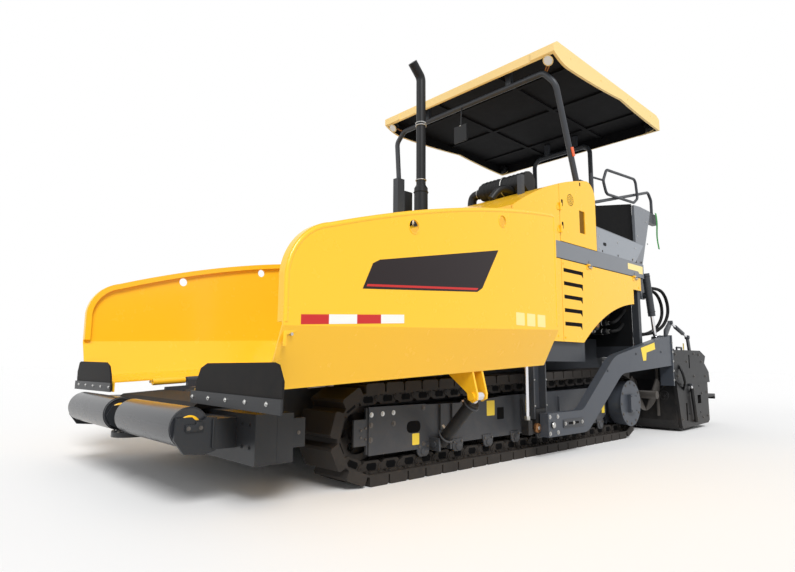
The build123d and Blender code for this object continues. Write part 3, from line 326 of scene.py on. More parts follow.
def make_paint(key, base, gloss, drift, dust, dust_height=0.9, metallic=0.0, peel=0.02, grain=120.0, coat=0.0,
               shine=0.4, dust_colour=(0.24, 0.20, 0.165, 1)):
    """A surface finish from the shared group, with its own values."""
    material = bpy.data.materials.new(key)
    material.use_nodes = True
    tree = material.node_tree
    shader = tree.nodes["Principled BSDF"].inputs
    surface = tree.nodes.new("ShaderNodeGroup")
    surface.node_tree = bpy.data.node_groups["Site surface"]
    for label, value in (("Base", (*base, 1)), ("Dust Colour", dust_colour), ("Tone Drift", drift),
                         ("Dust", dust), ("Dust Height", dust_height), ("Gloss", gloss), ("Grain", grain)):
        surface.inputs[label].default_value = value
    for label, value in (("Metallic", metallic), ("Coat Weight", coat), ("Specular IOR Level", shine),
                         ("Coat Roughness", 0.12)):
        shader[label].default_value = value
    bump = add_node(tree, "Bump", {"Strength": peel * 5, "Distance": 0.001,
                                   "Height": surface.outputs["Height"]})
    tree.links.new(surface.outputs["Color"], shader["Base Color"])
    tree.links.new(surface.outputs["Roughness"], shader["Roughness"])
    tree.links.new(bump.outputs["Normal"], shader["Normal"])
    PAINTS[key] = material


def linear(red, green, blue):
    """Screen colour, 0 to 255, as linear light."""
    return tuple((v / 255 / 12.92) if v <= 10 else ((v / 255 + 0.055) / 1.055) ** 2.4
                 for v in (red, green, blue))


# each finish: its colour, as a setting's name or a screen colour, then gloss, tone drift, dust and what else
# differs from the usual
FINISHES = {
    "machine yellow": ("machine", 0.2, 0.01, 0.0, {"peel": 0.0, "coat": 0.25}),
    "canopy shell": ("canopy", 0.45, 0.03, 0.0, {"peel": 0.01, "grain": 300.0}),
    "chassis grey": ("chassis", 0.32, 0.10, 0.2, {"dust_height": 0.6, "shine": 0.3}),
    "arm grey": ((66, 71, 79), 0.3, 0.05, 0.1, {"dust_height": 0.6, "shine": 0.3}),
    "beam grey": ((40, 42, 45), 0.3, 0.06, 0.1, {"dust_height": 0.4, "shine": 0.3}),
    "deck grey": ("band", 0.3, 0.04, 0.0, {}),
    "light grey": ((146, 151, 158), 0.35, 0.04, 0.05, {}),
    "black paint": ("black", 0.35, 0.15, 0.15, {"dust_height": 0.6, "shine": 0.25}),
    "black plastic": ("black", 0.5, 0.1, 0.0, {"peel": 0.05, "grain": 700.0, "shine": 0.2}),
    "lining black": ((16, 16, 18), 0.65, 0.2, 0.0, {"peel": 0.05, "grain": 420.0, "shine": 0.1}),
    "seat vinyl": ((26, 26, 28), 0.45, 0.08, 0.0, {"peel": 0.08, "grain": 900.0, "shine": 0.25}),
    "black rubber": ((20, 20, 21), 0.6, 0.2, 0.15, {"peel": 0.05, "grain": 260.0, "shine": 0.15}),
    "track steel": ((46, 43, 41), 0.5, 0.35, 0.45,
                    {"dust_height": 0.7, "metallic": 0.25, "peel": 0.08, "grain": 160.0, "shine": 0.2,
                     "dust_colour": (0.085, 0.072, 0.062, 1)}),
    "worn steel": ((96, 93, 90), 0.4, 0.3, 0.3, {"metallic": 0.6, "peel": 0.05}),
    "bright steel": ((190, 190, 188), 0.25, 0.1, 0.1, {"metallic": 0.9}),
    "chrome": ((225, 225, 228), 0.06, 0.02, 0.05, {"metallic": 1.0, "peel": 0.0}),
    "brass": ((150, 104, 62), 0.3, 0.2, 0.2, {"metallic": 0.8}),
    "strip paint": ((44, 46, 49), 0.35, 0.1, 0.1, {"shine": 0.25}),
    "roller grey": ((42, 44, 48), 0.2, 0.05, 0.1, {"dust_height": 0.45, "peel": 0.0, "coat": 0.2}),
    "signal red": ((196, 40, 38), 0.3, 0.05, 0.0, {}),
    "signal white": ((236, 236, 232), 0.3, 0.02, 0.0, {}),
    "panel dark": ((30, 20, 22), 0.25, 0.05, 0.0, {"shine": 0.3}),
    "pale plate": ((250, 226, 150), 0.3, 0.03, 0.0, {}),
    "blank yellow plate": ((246, 214, 70), 0.4, 0.05, 0.1, {}),
    "amber glass": ((232, 96, 44), 0.15, 0.05, 0.0, {}),
    "lamp glass": ((222, 226, 230), 0.08, 0.03, 0.0, {}),
    "mirror glass": ((150, 158, 166), 0.05, 0.0, 0.0, {"metallic": 1.0, "peel": 0.0}),
    "cable tan": ((150, 96, 40), 0.5, 0.2, 0.0, {}),
    # dark yellow painted shade for the floor of the door handle's recess
    "grip shade": ((122, 84, 16), 0.5, 0.05, 0.0, {"peel": 0.0, "shine": 0.1}),
    # near-black used as painted shade in slits, holes, windows and recesses of the trim
    "deep shade": ((12, 12, 13), 0.7, 0.1, 0.0, {"peel": 0.0, "shine": 0.08}),
    "strap green": ((62, 140, 70), 0.7, 0.2, 0.0, {"peel": 0.1, "grain": 500.0, "shine": 0.15}),
}
NODE_PAINT = {
    "machine yellow": "wing_left wing_right engine_hood upper_door_left upper_door_right lower_door_left "
                      "lower_door_right hopper_back",
    "arm grey": "tow_arms final_drives",
    "beam grey": "front_beam push_beam",
    "chassis grey": "main_frame track_frames levelling_guides hood_post auger_gearbox lift_barrels "
                    "canopy_front_hoop canopy_rear_hoop guard_rails",
    "deck grey": "deck operator_console",
    "lining black": "canopy_lining",
    "deep shade": "side_screens",
    "roller grey": "push_roller_left push_roller_right",
    "black paint": "exhaust air_cleaner tow_points screed_box screed_cheeks screed_walkway "
                   "hopper_barrel_left hopper_barrel_right engine_block mirror canopy_lamps pump_bay",
    "black plastic": "seats",
    "black rubber": "wing_flap_left wing_flap_right hopper_apron rear_hose_outer rear_hose_inner",
    "canopy shell": "canopy_roof",
    "worn steel": "conveyor auger_left auger_right",
    "track steel": "track_left track_right track_idlers track_rollers",
    "chrome": "hopper_rod_left hopper_rod_right lift_rods",
    "strip paint": "flap_strip_left flap_strip_right",
}


# ---------------------------------------------------------------- settings
class PaverColours(bpy.types.PropertyGroup):
    machine: bpy.props.FloatVectorProperty(name="Machine yellow",
                                           description="Paint of the hopper, hood and doors",
                                           subtype="COLOR", size=3, default=linear(254, 196, 40))
    canopy: bpy.props.FloatVectorProperty(name="Canopy", description="Moulded roof of the canopy",
                                          subtype="COLOR", size=3, default=linear(244, 212, 142))
    chassis: bpy.props.FloatVectorProperty(name="Chassis grey",
                                           description="Paint of the frames, rails and brackets",
                                           subtype="COLOR", size=3, default=linear(58, 61, 66))
    band: bpy.props.FloatVectorProperty(name="Deck grey", description="Paint of the band round the deck",
                                        subtype="COLOR", size=3, default=linear(120, 124, 130))
    black: bpy.props.FloatVectorProperty(name="Black", description="Black paint and plastic",
                                         subtype="COLOR", size=3, default=linear(24, 25, 27))


class PaverSizes(bpy.types.PropertyGroup):
    bolt: bpy.props.FloatProperty(name="Bolt head", description="Radius of a common bolt head", default=0.011,
                                  unit="LENGTH", min=0.004, max=0.03)
    stripe: bpy.props.FloatProperty(name="Stripe height",
                                    description="Height of the red and white safety strip",
                                    default=0.045, unit="LENGTH", min=0.02, max=0.1)


# ---------------------------------------------------------------- operators
CAMERA_AT, CAMERA_LENS = (4.521, 3.650, 0.720), 25.453
CAMERA_PAN, CAMERA_TILT, CAMERA_ROLL = 136.578, 97.846, 0.331
SHADE_LEVEL, SEEN_LEVEL = 0.46, 1.0          # strength of the background as a light and as it is seen
FLOOR_SHADE, FLOOR_SEEN = 0.75, 0.92         # tone of the floor in the light it throws and as it is seen
SUNS = (("key", (-0.35, -0.75, -0.75), 2.5, 25.0), ("front", (-0.9, 0.25, -0.35), 0.6, 40.0))


class PAVER_OT_camera(bpy.types.Operator):
    """Set up the low camera at the machine's front left"""
    bl_idname = "paver.camera"
    bl_label = "Camera"

    def execute(self, context):
        data = bpy.data.cameras.new("camera")
        data.sensor_width = 36.0
        data.lens = CAMERA_LENS
        data.clip_end = 200.0
        camera = bpy.data.objects.new("camera", data)
        context.scene.collection.objects.link(camera)
        turn = (Matrix.Rotation(math.radians(CAMERA_PAN), 4, "Z")
                @ Matrix.Rotation(math.radians(CAMERA_TILT), 4, "X")
                @ Matrix.Rotation(math.radians(CAMERA_ROLL), 4, "Z"))
        camera.matrix_world = Matrix.Translation(CAMERA_AT) @ turn
        context.scene.camera = camera
        return {"FINISHED"}


class PAVER_OT_stage(bpy.types.Operator):
    """Add the pale floor, the soft lights and the plain background"""
    bl_idname = "paver.stage"
    bl_label = "Stage"

    def execute(self, context):
        bm = bmesh.new()
        bmesh.ops.create_grid(bm, x_segments=1, y_segments=1, size=60.0)
        mesh = bpy.data.meshes.new("floor")
        bm.to_mesh(mesh)
        bm.free()
        floor = bpy.data.objects.new("floor", mesh)
        floor.location.z = -0.001
        context.scene.collection.objects.link(floor)
        material = bpy.data.materials.new("floor")
        material.use_nodes = True
        tree = material.node_tree
        shader = tree.nodes["Principled BSDF"].inputs
        shader["Roughness"].default_value = 0.9
        tone = add_node(tree, "Mix", {"Factor": seen_plainly(tree), "A": (*[FLOOR_SHADE] * 3, 1),
                                      "B": (*[FLOOR_SEEN] * 3, 1)}, data_type="RGBA")
        tree.links.new(tone.outputs["Result"], shader["Base Color"])
        mesh.materials.append(material)

        world = bpy.data.worlds.new("studio")
        world.use_nodes = True
        tree = world.node_tree
        back = tree.nodes["Background"].inputs
        back["Color"].default_value = (1, 1, 1, 1)
        level = add_node(tree, "MapRange", {"Value": seen_plainly(tree), "To Min": SHADE_LEVEL,
                                            "To Max": SEEN_LEVEL})
        tree.links.new(level.outputs[0], back["Strength"])
        context.scene.world = world
        for name, direction, strength, spread in SUNS:
            lamp = bpy.data.lights.new(name, "SUN")
            lamp.energy = strength
            lamp.angle = math.radians(spread)
            holder = bpy.data.objects.new(name, lamp)
            holder.matrix_world = facing(-Vector(direction))
            context.scene.collection.objects.link(holder)
        context.scene.view_settings.view_transform = "Standard"
        return {"FINISHED"}


class PAVER_OT_paint(bpy.types.Operator):
    """Make the finishes and paint every node of the frame"""
    bl_idname = "paver.paint"
    bl_label = "Paint"

    def execute(self, context):
        colours = context.scene.paver_colours
        make_surface_group()
        for key, (colour, gloss, drift, dust, rest) in FINISHES.items():
            base = getattr(colours, colour) if isinstance(colour, str) else linear(*colour)
            make_paint(key, tuple(base), gloss, drift, dust, **rest)
        for key, names in NODE_PAINT.items():
            for name in names.split():
                node = NODES[name]
                if not node.material_slots:
                    node.data.materials.append(PAINTS[key])
                for spot in node.material_slots:
                    spot.material = PAINTS[key]
        return {"FINISHED"}


# track loop, as in the frame: shoes on a chain about an idler and a sprocket
PITCH, SHOES = 0.160, 51
IDLER = (2.290, 0.300, 0.215)        # x, axis height, radius of the chain's pins
SPROCKET_R, SPROCKET_Z = 0.260, 0.345
TRACK_Y, RAIL_FACE, PIN_Z = 0.902, 0.988, -0.004
# outline of the painted shade in each link's window
LINK_WINDOW_SHADE = ((-0.036, -0.036), (0.030, -0.036), (0.040, -0.020), (0.030, 0.008), (-0.026, 0.008),
            (-0.042, -0.012))


def chain_places():
    """Place of each link: x along its travel, y across and z out of the loop."""
    span = (SHOES * PITCH - math.pi * (IDLER[2] + SPROCKET_R)) / 2
    lean = 2 * math.atan2(SPROCKET_Z - IDLER[1], span)
    rear, front = SPROCKET_R * (math.pi - lean), IDLER[2] * (math.pi + lean)
    whole = 2 * span + rear + front
    step = whole / SHOES

    def on_wheel(x, z, r, turn):
        return Vector((x - r * math.sin(turn), 0, z - r * math.cos(turn)))

    def on_sprocket(turn):
        return on_wheel(IDLER[0] - span, SPROCKET_Z, SPROCKET_R, turn)

    def point(s):
        s %= whole
        if s < span:
            return Vector((IDLER[0] - s, 0, IDLER[1] - IDLER[2]))
        s -= span
        if s < rear:
            return on_sprocket(s / SPROCKET_R)
        s -= rear
        if s < span:
            return on_sprocket(math.pi - lean) + Vector((math.cos(lean), 0, -math.sin(lean))) * s
        return on_wheel(*IDLER, math.pi - lean + (s - span) / IDLER[2])

    places = []
    for i in range(SHOES):
        a, b = point(i * step), point((i + 1) * step)
        along = (b - a).normalized()
        out = Vector((-along.z, 0, along.x))
        turn = Matrix((along, out.cross(along), out)).transposed().to_4x4()
        places.append(Matrix.Translation((a + b) / 2) @ turn)
    return places


class PAVER_OT_tracks(bpy.types.Operator):
    """Add painted shade in the links' windows, pin bosses and shoe bolts round both tracks"""
    bl_idname = "paver.tracks"
    bl_label = "Track links"

    def execute(self, context):
        link = bmesh.new()
        for side in (1, -1):
            face = TRACK_Y + side * (RAIL_FACE - TRACK_Y)
            low, high = sorted((face, face + side * 0.006))
            add_cross_rod(link, -PITCH / 2, PIN_Z, low, high, 0.030, 0, 12)
            add_cross_rod(link, -PITCH / 2, PIN_Z, low, high + 0.003, 0.015, 0, 8)
            # near-black plate in the link's window: painted shade
            add_plate(link, low - 0.003, LINK_WINDOW_SHADE, 0.0045, 1)
            inner, outer = (0.004, 0.030) if side > 0 else (0.03, 0.004)
            add_box(link, (-0.068, face - inner, 0.006), (0.068, face + outer, 0.0175))
        for u in (-0.042, 0.034):
            add_rod(link, (u, RAIL_FACE + 0.034, 0.015), (u, RAIL_FACE + 0.034, 0.006), 0.011, 0, 6)
        mesh = bpy.data.meshes.new("one link")
        link.to_mesh(mesh)
        link.free()
        bm = bmesh.new()
        for place in chain_places():
            first = len(bm.verts)
            bm.from_mesh(mesh)
            bm.verts.ensure_lookup_table()
            bmesh.ops.transform(bm, matrix=place, verts=bm.verts[first:])
        finish_pair(bm, "track_links_{}", "tractor", ("track steel", "deep shade"))
        return {"FINISHED"}


ROLLER_X, ROLLER_STEP, ROLLER_COUNT = 1.790, 0.345, 8
FRAME_FACE, NOSE_FACE = 1.009, 1.019
DRIVE = (-1.044, SPROCKET_Z)
NOSE_TOP_BOLTS = ((2.242, 0.410), (2.151, 0.412), (2.060, 0.414))
NOSE_BOLTS = ((2.246, 0.349), (2.058, 0.347), (2.246, 0.262), (1.79, 0.20), (1.79, 0.43))


class PAVER_OT_frames(bpy.types.Operator):
    """Add bolts, roller brackets, cover rims and blank plates to the track frames and final drives"""
    bl_idname = "paver.frames"
    bl_label = "Track frame trim"

    def execute(self, context):
        bolt = context.scene.paver_sizes.bolt
        bm = bmesh.new()
        add_side_bolts(bm, NOSE_FACE, NOSE_TOP_BOLTS, bolt * 0.9, 0.008, 1)
        add_side_bolts(bm, NOSE_FACE, NOSE_BOLTS, bolt, 0.007, 2)
        # the near-black rounded plates here are painted shade
        add_plate(bm, NOSE_FACE, rounded(1.818, 1.942, 0.278, 0.352, 0.034), 0.0015, 3)
        for x0, x1, z0, z1, y in ((1.829, 1.893, 0.200, 0.272, NOSE_FACE),
                                  (1.005, 1.100, 0.338, 0.448, FRAME_FACE),
                                  (-0.735, -0.680, 0.262, 0.346, FRAME_FACE)):
            add_plate(bm, y, rounded(x0, x1, z0, z1, 0.004, 1), 0.0012, 4)
        add_plate(bm, FRAME_FACE, rounded(0.890, 0.974, 0.305, 0.393, 0.006, 2), 0.0014, 3)
        for x in (1.62, 1.50, 0.66, 0.10):
            add_box(bm, (x - 0.006, FRAME_FACE - 0.001, 0.185), (x + 0.006, FRAME_FACE + 0.016, 0.446), 0,
                    0.002)
        for i in range(ROLLER_COUNT):
            x = ROLLER_X - i * ROLLER_STEP
            bracket = [(x - 0.062, 0.205), (x + 0.062, 0.205), (x + 0.052, 0.138), (x + 0.030, 0.120),
                       (x - 0.030, 0.120), (x - 0.052, 0.138)]
            add_plate(bm, FRAME_FACE - 0.001, bracket, 0.012, 0, 0.002)
            add_cross_rod(bm, x, 0.152, FRAME_FACE + 0.010, FRAME_FACE + 0.016, 0.024, 0, 20, None, 0.002)
            add_side_bolts(bm, FRAME_FACE + 0.011, ((x - 0.040, 0.184), (x + 0.040, 0.184)), bolt * 0.8,
                           0.006, 2, False)
        add_side_bolts(bm, 1.132, round_spots(*DRIVE, 0.196, 12), bolt * 0.8, 0.006, 2)
        cover_bolts = [(DRIVE[0] + dx, DRIVE[1] + dz) for dx in (-0.045, 0.055) for dz in (-0.07, 0.07)]
        add_side_bolts(bm, 1.168, cover_bolts, bolt * 0.7, 0.005, 0, False)
        add_side_bolts(bm, FRAME_FACE, round_spots(*IDLER[:2], 0.034, 5, 0.5), bolt * 0.7, 0.006, 2, False)
        mirrored(bm)
        finish_piece(bm, "track_frame_trim", "tractor",
                     ("chassis grey", "bright steel", "worn steel", "deep shade", "blank yellow plate"))
        return {"FINISHED"}


PUSH_X, PUSH_Z = 3.320, 0.404        # axis of the push rollers
CAP_Y, YOKE_FACE = 0.9005, 0.930
YOKE_KEEPER = ((3.262, 0.386), (3.262, 0.432), (3.300, 0.432), (3.300, 0.418), (3.352, 0.418), (3.352, 0.386))


class PAVER_OT_front(bpy.types.Operator):
    """Add the push rollers' end caps, their retainers and the front beam's bolts"""
    bl_idname = "paver.front"
    bl_label = "Front end"

    def execute(self, context):
        bolt = context.scene.paver_sizes.bolt
        bm = bmesh.new()
        add_cross_rod(bm, PUSH_X, PUSH_Z, 0.8995, 0.9025, 0.096, 0, 48, 0.092)
        add_ring(bm, (PUSH_X, CAP_Y, PUSH_Z), SIDE, 0.094, 0.0035, 0, 48)
        add_cross_rod(bm, PUSH_X, PUSH_Z, 0.9020, 0.9095, 0.060, 1, 32, 0.046, 0.002)
        for y in (0.108, 0.104):
            add_ring(bm, (PUSH_X, y + 0.004, PUSH_Z), SIDE, 0.092, 0.004, 0, 48)
        add_cross_rod(bm, PUSH_X, PUSH_Z, 0.1105, 0.1030, 0.066, 1, 32, 0.050, 0.002)
        add_side_bolts(bm, 0.9022, round_spots(PUSH_X, PUSH_Z, 0.078, 6), bolt * 0.5, 0.004, 0, False)
        finish_pair(bm, "push_roller_caps_{}", "push_roller_{}",
                    ("roller grey", "machine yellow"))

        bm = bmesh.new()
        add_plate(bm, YOKE_FACE, YOKE_KEEPER, 0.010, 0, 0.0015)
        add_side_bolts(bm, YOKE_FACE + 0.010, ((3.276, 0.402), (3.338, 0.402)), bolt * 0.6, 0.006, 1)
        add_box(bm, (3.205, YOKE_FACE - 0.001, 0.300), (3.216, YOKE_FACE + 0.012, 0.440), 0, 0.002)
        for y in (0.985, 1.060):
            for z in (0.300, 0.410):
                add_bolt(bm, (3.080, y, z), FRONT, bolt * 0.7, 0.007)
        add_bolt(bm, (2.822, 1.110, 0.360), SIDE, bolt * 0.6, 0.006, 1)
        mirrored(bm)
        for x, y in round_spots(PUSH_X, 0, 0.07, 4, 0.5):
            add_bolt(bm, (x, y, 0.307), UP, bolt * 0.8, 0.007, 1)
        add_ring(bm, (PUSH_X, 0, 0.307), UP, 0.0355, 0.003, 1)
        finish_piece(bm, "front_beam_trim", "tractor", ("beam grey", "worn steel"))
        return {"FINISHED"}


WING_FACE = 1.530
STRIPE_X, STRIPE_Z, STRIPE_RISE = (3.108, 2.954, 2.785, 2.629, 2.466), 0.936, 0.060
WING_PANEL = ((2.752, 1.086), (2.686, 1.222), (2.640, 1.246), (1.630, 1.440), (1.800, 1.180), (1.850, 1.152))
WING_PANEL_LINE = ((2.728, 1.100), (2.722, 1.112), (1.840, 1.176), (1.852, 1.162))
FLAP_BOLTS = (0.700, 0.885, 1.072, 1.262, 1.453)


class PAVER_OT_wings(bpy.types.Operator):
    """Add the safety strips, plain side panels, flap bolts and catches to the hopper wings"""
    bl_idname = "paver.wings"
    bl_label = "Hopper wings"

    def execute(self, context):
        sizes = context.scene.paver_sizes
        bm = bmesh.new()
        ends = [(x, STRIPE_Z + (STRIPE_X[0] - x) * STRIPE_RISE) for x in STRIPE_X]
        for i, ((x0, z0), (x1, z1)) in enumerate(zip(ends, ends[1:])):
            add_plate(bm, WING_FACE, [(x0, z0), (x1, z1), (x1, z1 - sizes.stripe), (x0, z0 - sizes.stripe)],
                      0.0012, i % 2)
        add_plate(bm, WING_FACE, WING_PANEL, 0.0014, 2)
        add_plate(bm, WING_FACE + 0.0014, WING_PANEL_LINE, 0.0006, 3)
        rim = ([(3.184, 0.900)] + arc((3.200, 1.120), (3.126, 1.290), (2.960, 1.386), 0.016, 8)
               + arc((2.960, 1.386), (2.090, 1.627), (0.930, 1.811), 0.016, 14)[1:-1]
               + [(0.962, 1.790), (0.950, 1.786), (0.946, 1.774), (0.946, 0.990)])
        add_tube(bm, [(x, WING_FACE - 0.0115, z) for x, z in rim], 0.0155, 6, 14)
        for x in (1.152, 1.277, 1.402):
            add_plate(bm, WING_FACE, rounded(x - 0.048, x + 0.048, 0.972, 1.056, 0.004, 1), 0.001, 4)
        for y in FLAP_BOLTS:
            add_bolt(bm, (3.222, y, 0.541), FRONT, sizes.bolt * 0.65, 0.007, 5)
        add_plate(bm, 1.510, [(3.188, 0.868), (3.188, 0.792), (3.172, 0.792), (3.172, 0.842), (3.140, 0.852),
                              (3.105, 0.868)], 0.010, 6, 0.0015)
        add_cross_rod(bm, 3.150, 0.846, 1.506, 1.528, 0.007, 5, 16)
        for x, z in ((2.391, 1.463), (1.578, 1.640)):
            add_ring(bm, (x, WING_FACE, z), SIDE, 0.040, 0.0035, 6)
        finish_pair(bm, "wing_trim_{}", "wing_{}",
                    ("signal red", "signal white", "panel dark", "signal red", "pale plate", "bright steel",
                     "machine yellow"))
        return {"FINISHED"}


DOOR_FACE, BAND_FACE = 1.120, 1.118
HINGE_X, VENT = 0.112, (-0.036, 2.205)
LOUVRES, LOUVRE_TOP, LOUVRE_STEP = 5, 1.560, 0.118


class PAVER_OT_hood(bpy.types.Operator):
    """Add the doors' shade sheets, vents, catches and the band's blank plate"""
    bl_idname = "paver.hood"
    bl_label = "Hood and doors"

    def execute(self, context):
        bolt = context.scene.paver_sizes.bolt
        bm = bmesh.new()
        # the hinge plates, the vent's hole studs and the small plate above the grip are near-black painted
        # shade
        for z in (2.150, 1.945):
            hinge = rounded(HINGE_X - 0.013, HINGE_X + 0.013, z - 0.030, z + 0.030, 0.005, 2)
            add_plate(bm, DOOR_FACE, hinge, 0.0008)
        for r, count in ((0.050, 18), (0.031, 11), (0.012, 4)):
            for x, z in round_spots(*VENT, r, count):
                add_cross_rod(bm, x, z, DOOR_FACE - 0.001, DOOR_FACE + 0.0006, 0.0058, 0, 8)
        add_ring(bm, (VENT[0], DOOR_FACE, VENT[1]), SIDE, 0.060, 0.0012, 1, 32, 6)
        add_plate(bm, DOOR_FACE, rounded(-0.231, -0.211, 2.378, 2.412, 0.004, 2), 0.0008)
        # plate on the floor of the handle recess: painted shade
        add_plate(bm, DOOR_FACE - 0.009, rounded(-0.288, -0.192, 1.927, 2.138, 0.006, 2), 0.001, 2)
        finish_pair(bm, "upper_door_trim_{}", "upper_door_{}",
                    ("deep shade", "machine yellow", "grip shade"))

        bm = bmesh.new()
        # near-black wedges under the louvres: painted shade in their slits
        for i in range(LOUVRES):
            z, back_x = LOUVRE_TOP - LOUVRE_STEP * i, -0.215 + 0.012 * i
            add_plate(bm, DOOR_FACE, [(0.124, z - 0.001), (back_x, z - 0.001), (back_x, z - 0.060),
                                      (back_x + 0.030, z - 0.034), (0.124, z - 0.034)], 0.001)
        for x in (-0.343, -1.326):
            add_rod(bm, (x - 0.034, DOOR_FACE + 0.010, 1.618), (x + 0.034, DOOR_FACE + 0.010, 1.618), 0.008,
                    1, 12, None, 0.002)
        add_side_bolts(bm, DOOR_FACE, ((-1.40, 1.53), (0.125, 0.95), (0.125, 1.60)), bolt * 0.7, 0.005, 2)
        finish_pair(bm, "lower_door_trim_{}", "lower_door_{}",
                    ("deep shade", "bright steel", "machine yellow"))

        bm = bmesh.new()
        add_plate(bm, DOOR_FACE, [(-1.160, 1.768), (-1.515, 1.768), (-1.512, 1.684), (-1.420, 1.684),
                                  (-1.405, 1.705), (-1.160, 1.705)], 0.0012)
        add_side_bolts(bm, BAND_FACE, [(x, 1.815) for x in (-0.62, -0.95, -1.28, -1.50)], bolt * 0.7, 0.005,
                       1)
        add_box(bm, (-1.52, 1.1195, 1.636), (0.82, 1.1215, 1.6415), 2)
        add_side_bolts(bm, DOOR_FACE, [(x, z) for x in (0.24, 0.80) for z in (0.96, 1.22, 1.50)], bolt * 0.7,
                       0.005, 3)
        add_side_bolts(bm, DOOR_FACE, ((0.26, 1.90), (0.26, 1.82)), bolt * 0.6, 0.005, 3)
        mirrored(bm)
        for y in (-0.7, 0.0, 0.7):
            for z in (1.20, 1.60):
                add_bolt(bm, (0.872, y, z), FRONT, bolt, 0.007, 3)
        # near-black bars across the front face: painted shade in the grille
        for y0, y1 in ((-0.82, -0.30), (0.30, 0.82)):
            for i in range(9):
                z = 1.26 + i * 0.034
                add_box(bm, (0.8715, y0, z), (0.876, y1, z + 0.012), 2, 0.001)
        finish_piece(bm, "body_trim", "tractor",
                     ("pale plate", "worn steel", "deep shade", "machine yellow"))
        return {"FINISHED"}


EXHAUST_X = 0.763
CLEANER_X, CLEANER_Z = 0.060, 2.446


class PAVER_OT_hood_top(bpy.types.Operator):
    """Dress the exhaust, the air cleaner with its ducts, the mirror and the grey post"""
    bl_idname = "paver.hood_top"
    bl_label = "Exhaust and air cleaner"

    def execute(self, context):
        bm = bmesh.new()
        for z in (2.030, 2.350):
            add_ring(bm, (EXHAUST_X, 0, z), UP, 0.0665, 0.006)
        for z in (2.470, 3.022, 3.048):
            add_ring(bm, (EXHAUST_X, 0, z), UP, 0.050, 0.005, 1)
        add_bolt(bm, (EXHAUST_X, 0.056, 3.035), SIDE, 0.007, 0.010, 1)
        for i in range(6):
            z = 2.06 + 0.045 * i
            add_box(bm, (EXHAUST_X - 0.052, -0.1915, z), (EXHAUST_X + 0.032, -0.1895, z + 0.016), 2, 0.0008)
        x, z = CLEANER_X, CLEANER_Z
        for y in (0.285, 0.330, 0.375, 0.420, 0.560, 0.605, 0.650, 0.695, 0.740):
            add_ring(bm, (x, y, z), SIDE, 0.0985, 0.004, 0, 36, 6)
        add_ring(bm, (x, 0.485, z), SIDE, 0.1015, 0.005, 1, 36, 6)
        add_cross_rod(bm, x, z, 0.180, 0.208, 0.050, 0, 24, None, 0.003)
        add_tube(bm, eased([(x, 0.205, z), (x, 0.060, z), (x, 0.055, z - 0.170)]), 0.046, 0, 20)
        add_ring(bm, (x, 0.152, z), SIDE, 0.048, 0.004, 1, 28, 6)
        add_tube(bm, eased([(x + 0.02, 0.60, z - 0.070), (x + 0.24, 0.59, z - 0.070),
                            (x + 0.33, 0.55, z - 0.200)]), 0.034, 0, 16)
        add_rod(bm, (0.4525, 0.9225, 2.366), (0.4525, 0.9225, 2.373), 0.018, 2, 16)
        add_box(bm, (0.092, -0.124, 3.066), (0.0958, 0.034, 3.234), 3, 0.001)
        add_ring(bm, (0.107, -0.045, 3.236), UP, 0.012, 0.004, 1, 20, 6)
        finish_piece(bm, "hood_top_trim", "tractor",
                     ("black paint", "bright steel", "chassis grey", "mirror glass"))
        return {"FINISHED"}


ROOF_EDGE_Y, CABLE_Y = 1.1462, 1.050


class PAVER_OT_canopy(bpy.types.Operator):
    """Add lamp lenses, rims, cables and the amber reflector under the canopy"""
    bl_idname = "paver.canopy"
    bl_label = "Canopy"

    def execute(self, context):
        bm = bmesh.new()
        low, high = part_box("canopy_lamps")
        half, z = high[1] - 0.046, low[2] + 0.047
        for x, way in ((high[0], 1), (low[0], -1)):
            for y in (half, -half):
                look = Vector((way * 0.72, 0, -0.70))
                seat = Vector((x - way * 0.012, y, z - 0.052))
                add_rod(bm, seat - look * 0.045, seat, 0.042, 4, 28, 0.050, 0.003)
                add_rod(bm, seat - look * 0.002, seat + look * 0.004, 0.044, 1, 28, 0.040)
                add_ring(bm, seat, look, 0.047, 0.004, 0, 28)
        for side in (1, -1):
            y = side * CABLE_Y
            add_tube(bm, [(0.060, y * 0.93, 3.468), (0.085, y * 0.975, 3.502), (0.118, y * 0.99, 3.515),
                          (0.132, half * side, 3.540)], 0.006, 2, 8)
            add_tube(bm, [(0.050, y * 0.90, 3.470), (0.098, y * 0.95, 3.490), (0.126, y * 0.985, 3.525)],
                     0.005, 2, 8)
            for x in (-1.9, -1.3, -0.7, -0.1):
                add_bolt(bm, (x, side * ROOF_EDGE_Y, 3.600), (0, side, 0), 0.006, 0.003)
        leg = Matrix.Translation((-0.194, 1.079, 2.720)) @ facing((0.375, 0, 1.04))
        add_box(bm, (-0.022, -0.004, -0.045), (0.022, 0.004, 0.045), 3, 0.002, leg)
        finish_piece(bm, "canopy_trim", "tractor",
                     ("canopy shell", "lamp glass", "cable tan", "amber glass", "black plastic"))
        return {"FINISHED"}


ARM_FACE, CHEEK_FACE, CAP_FACE = 1.250, 1.236, 1.248
LEVEL_X, LEVEL_Y = 0.810, 1.168      # axis of the levelling rods


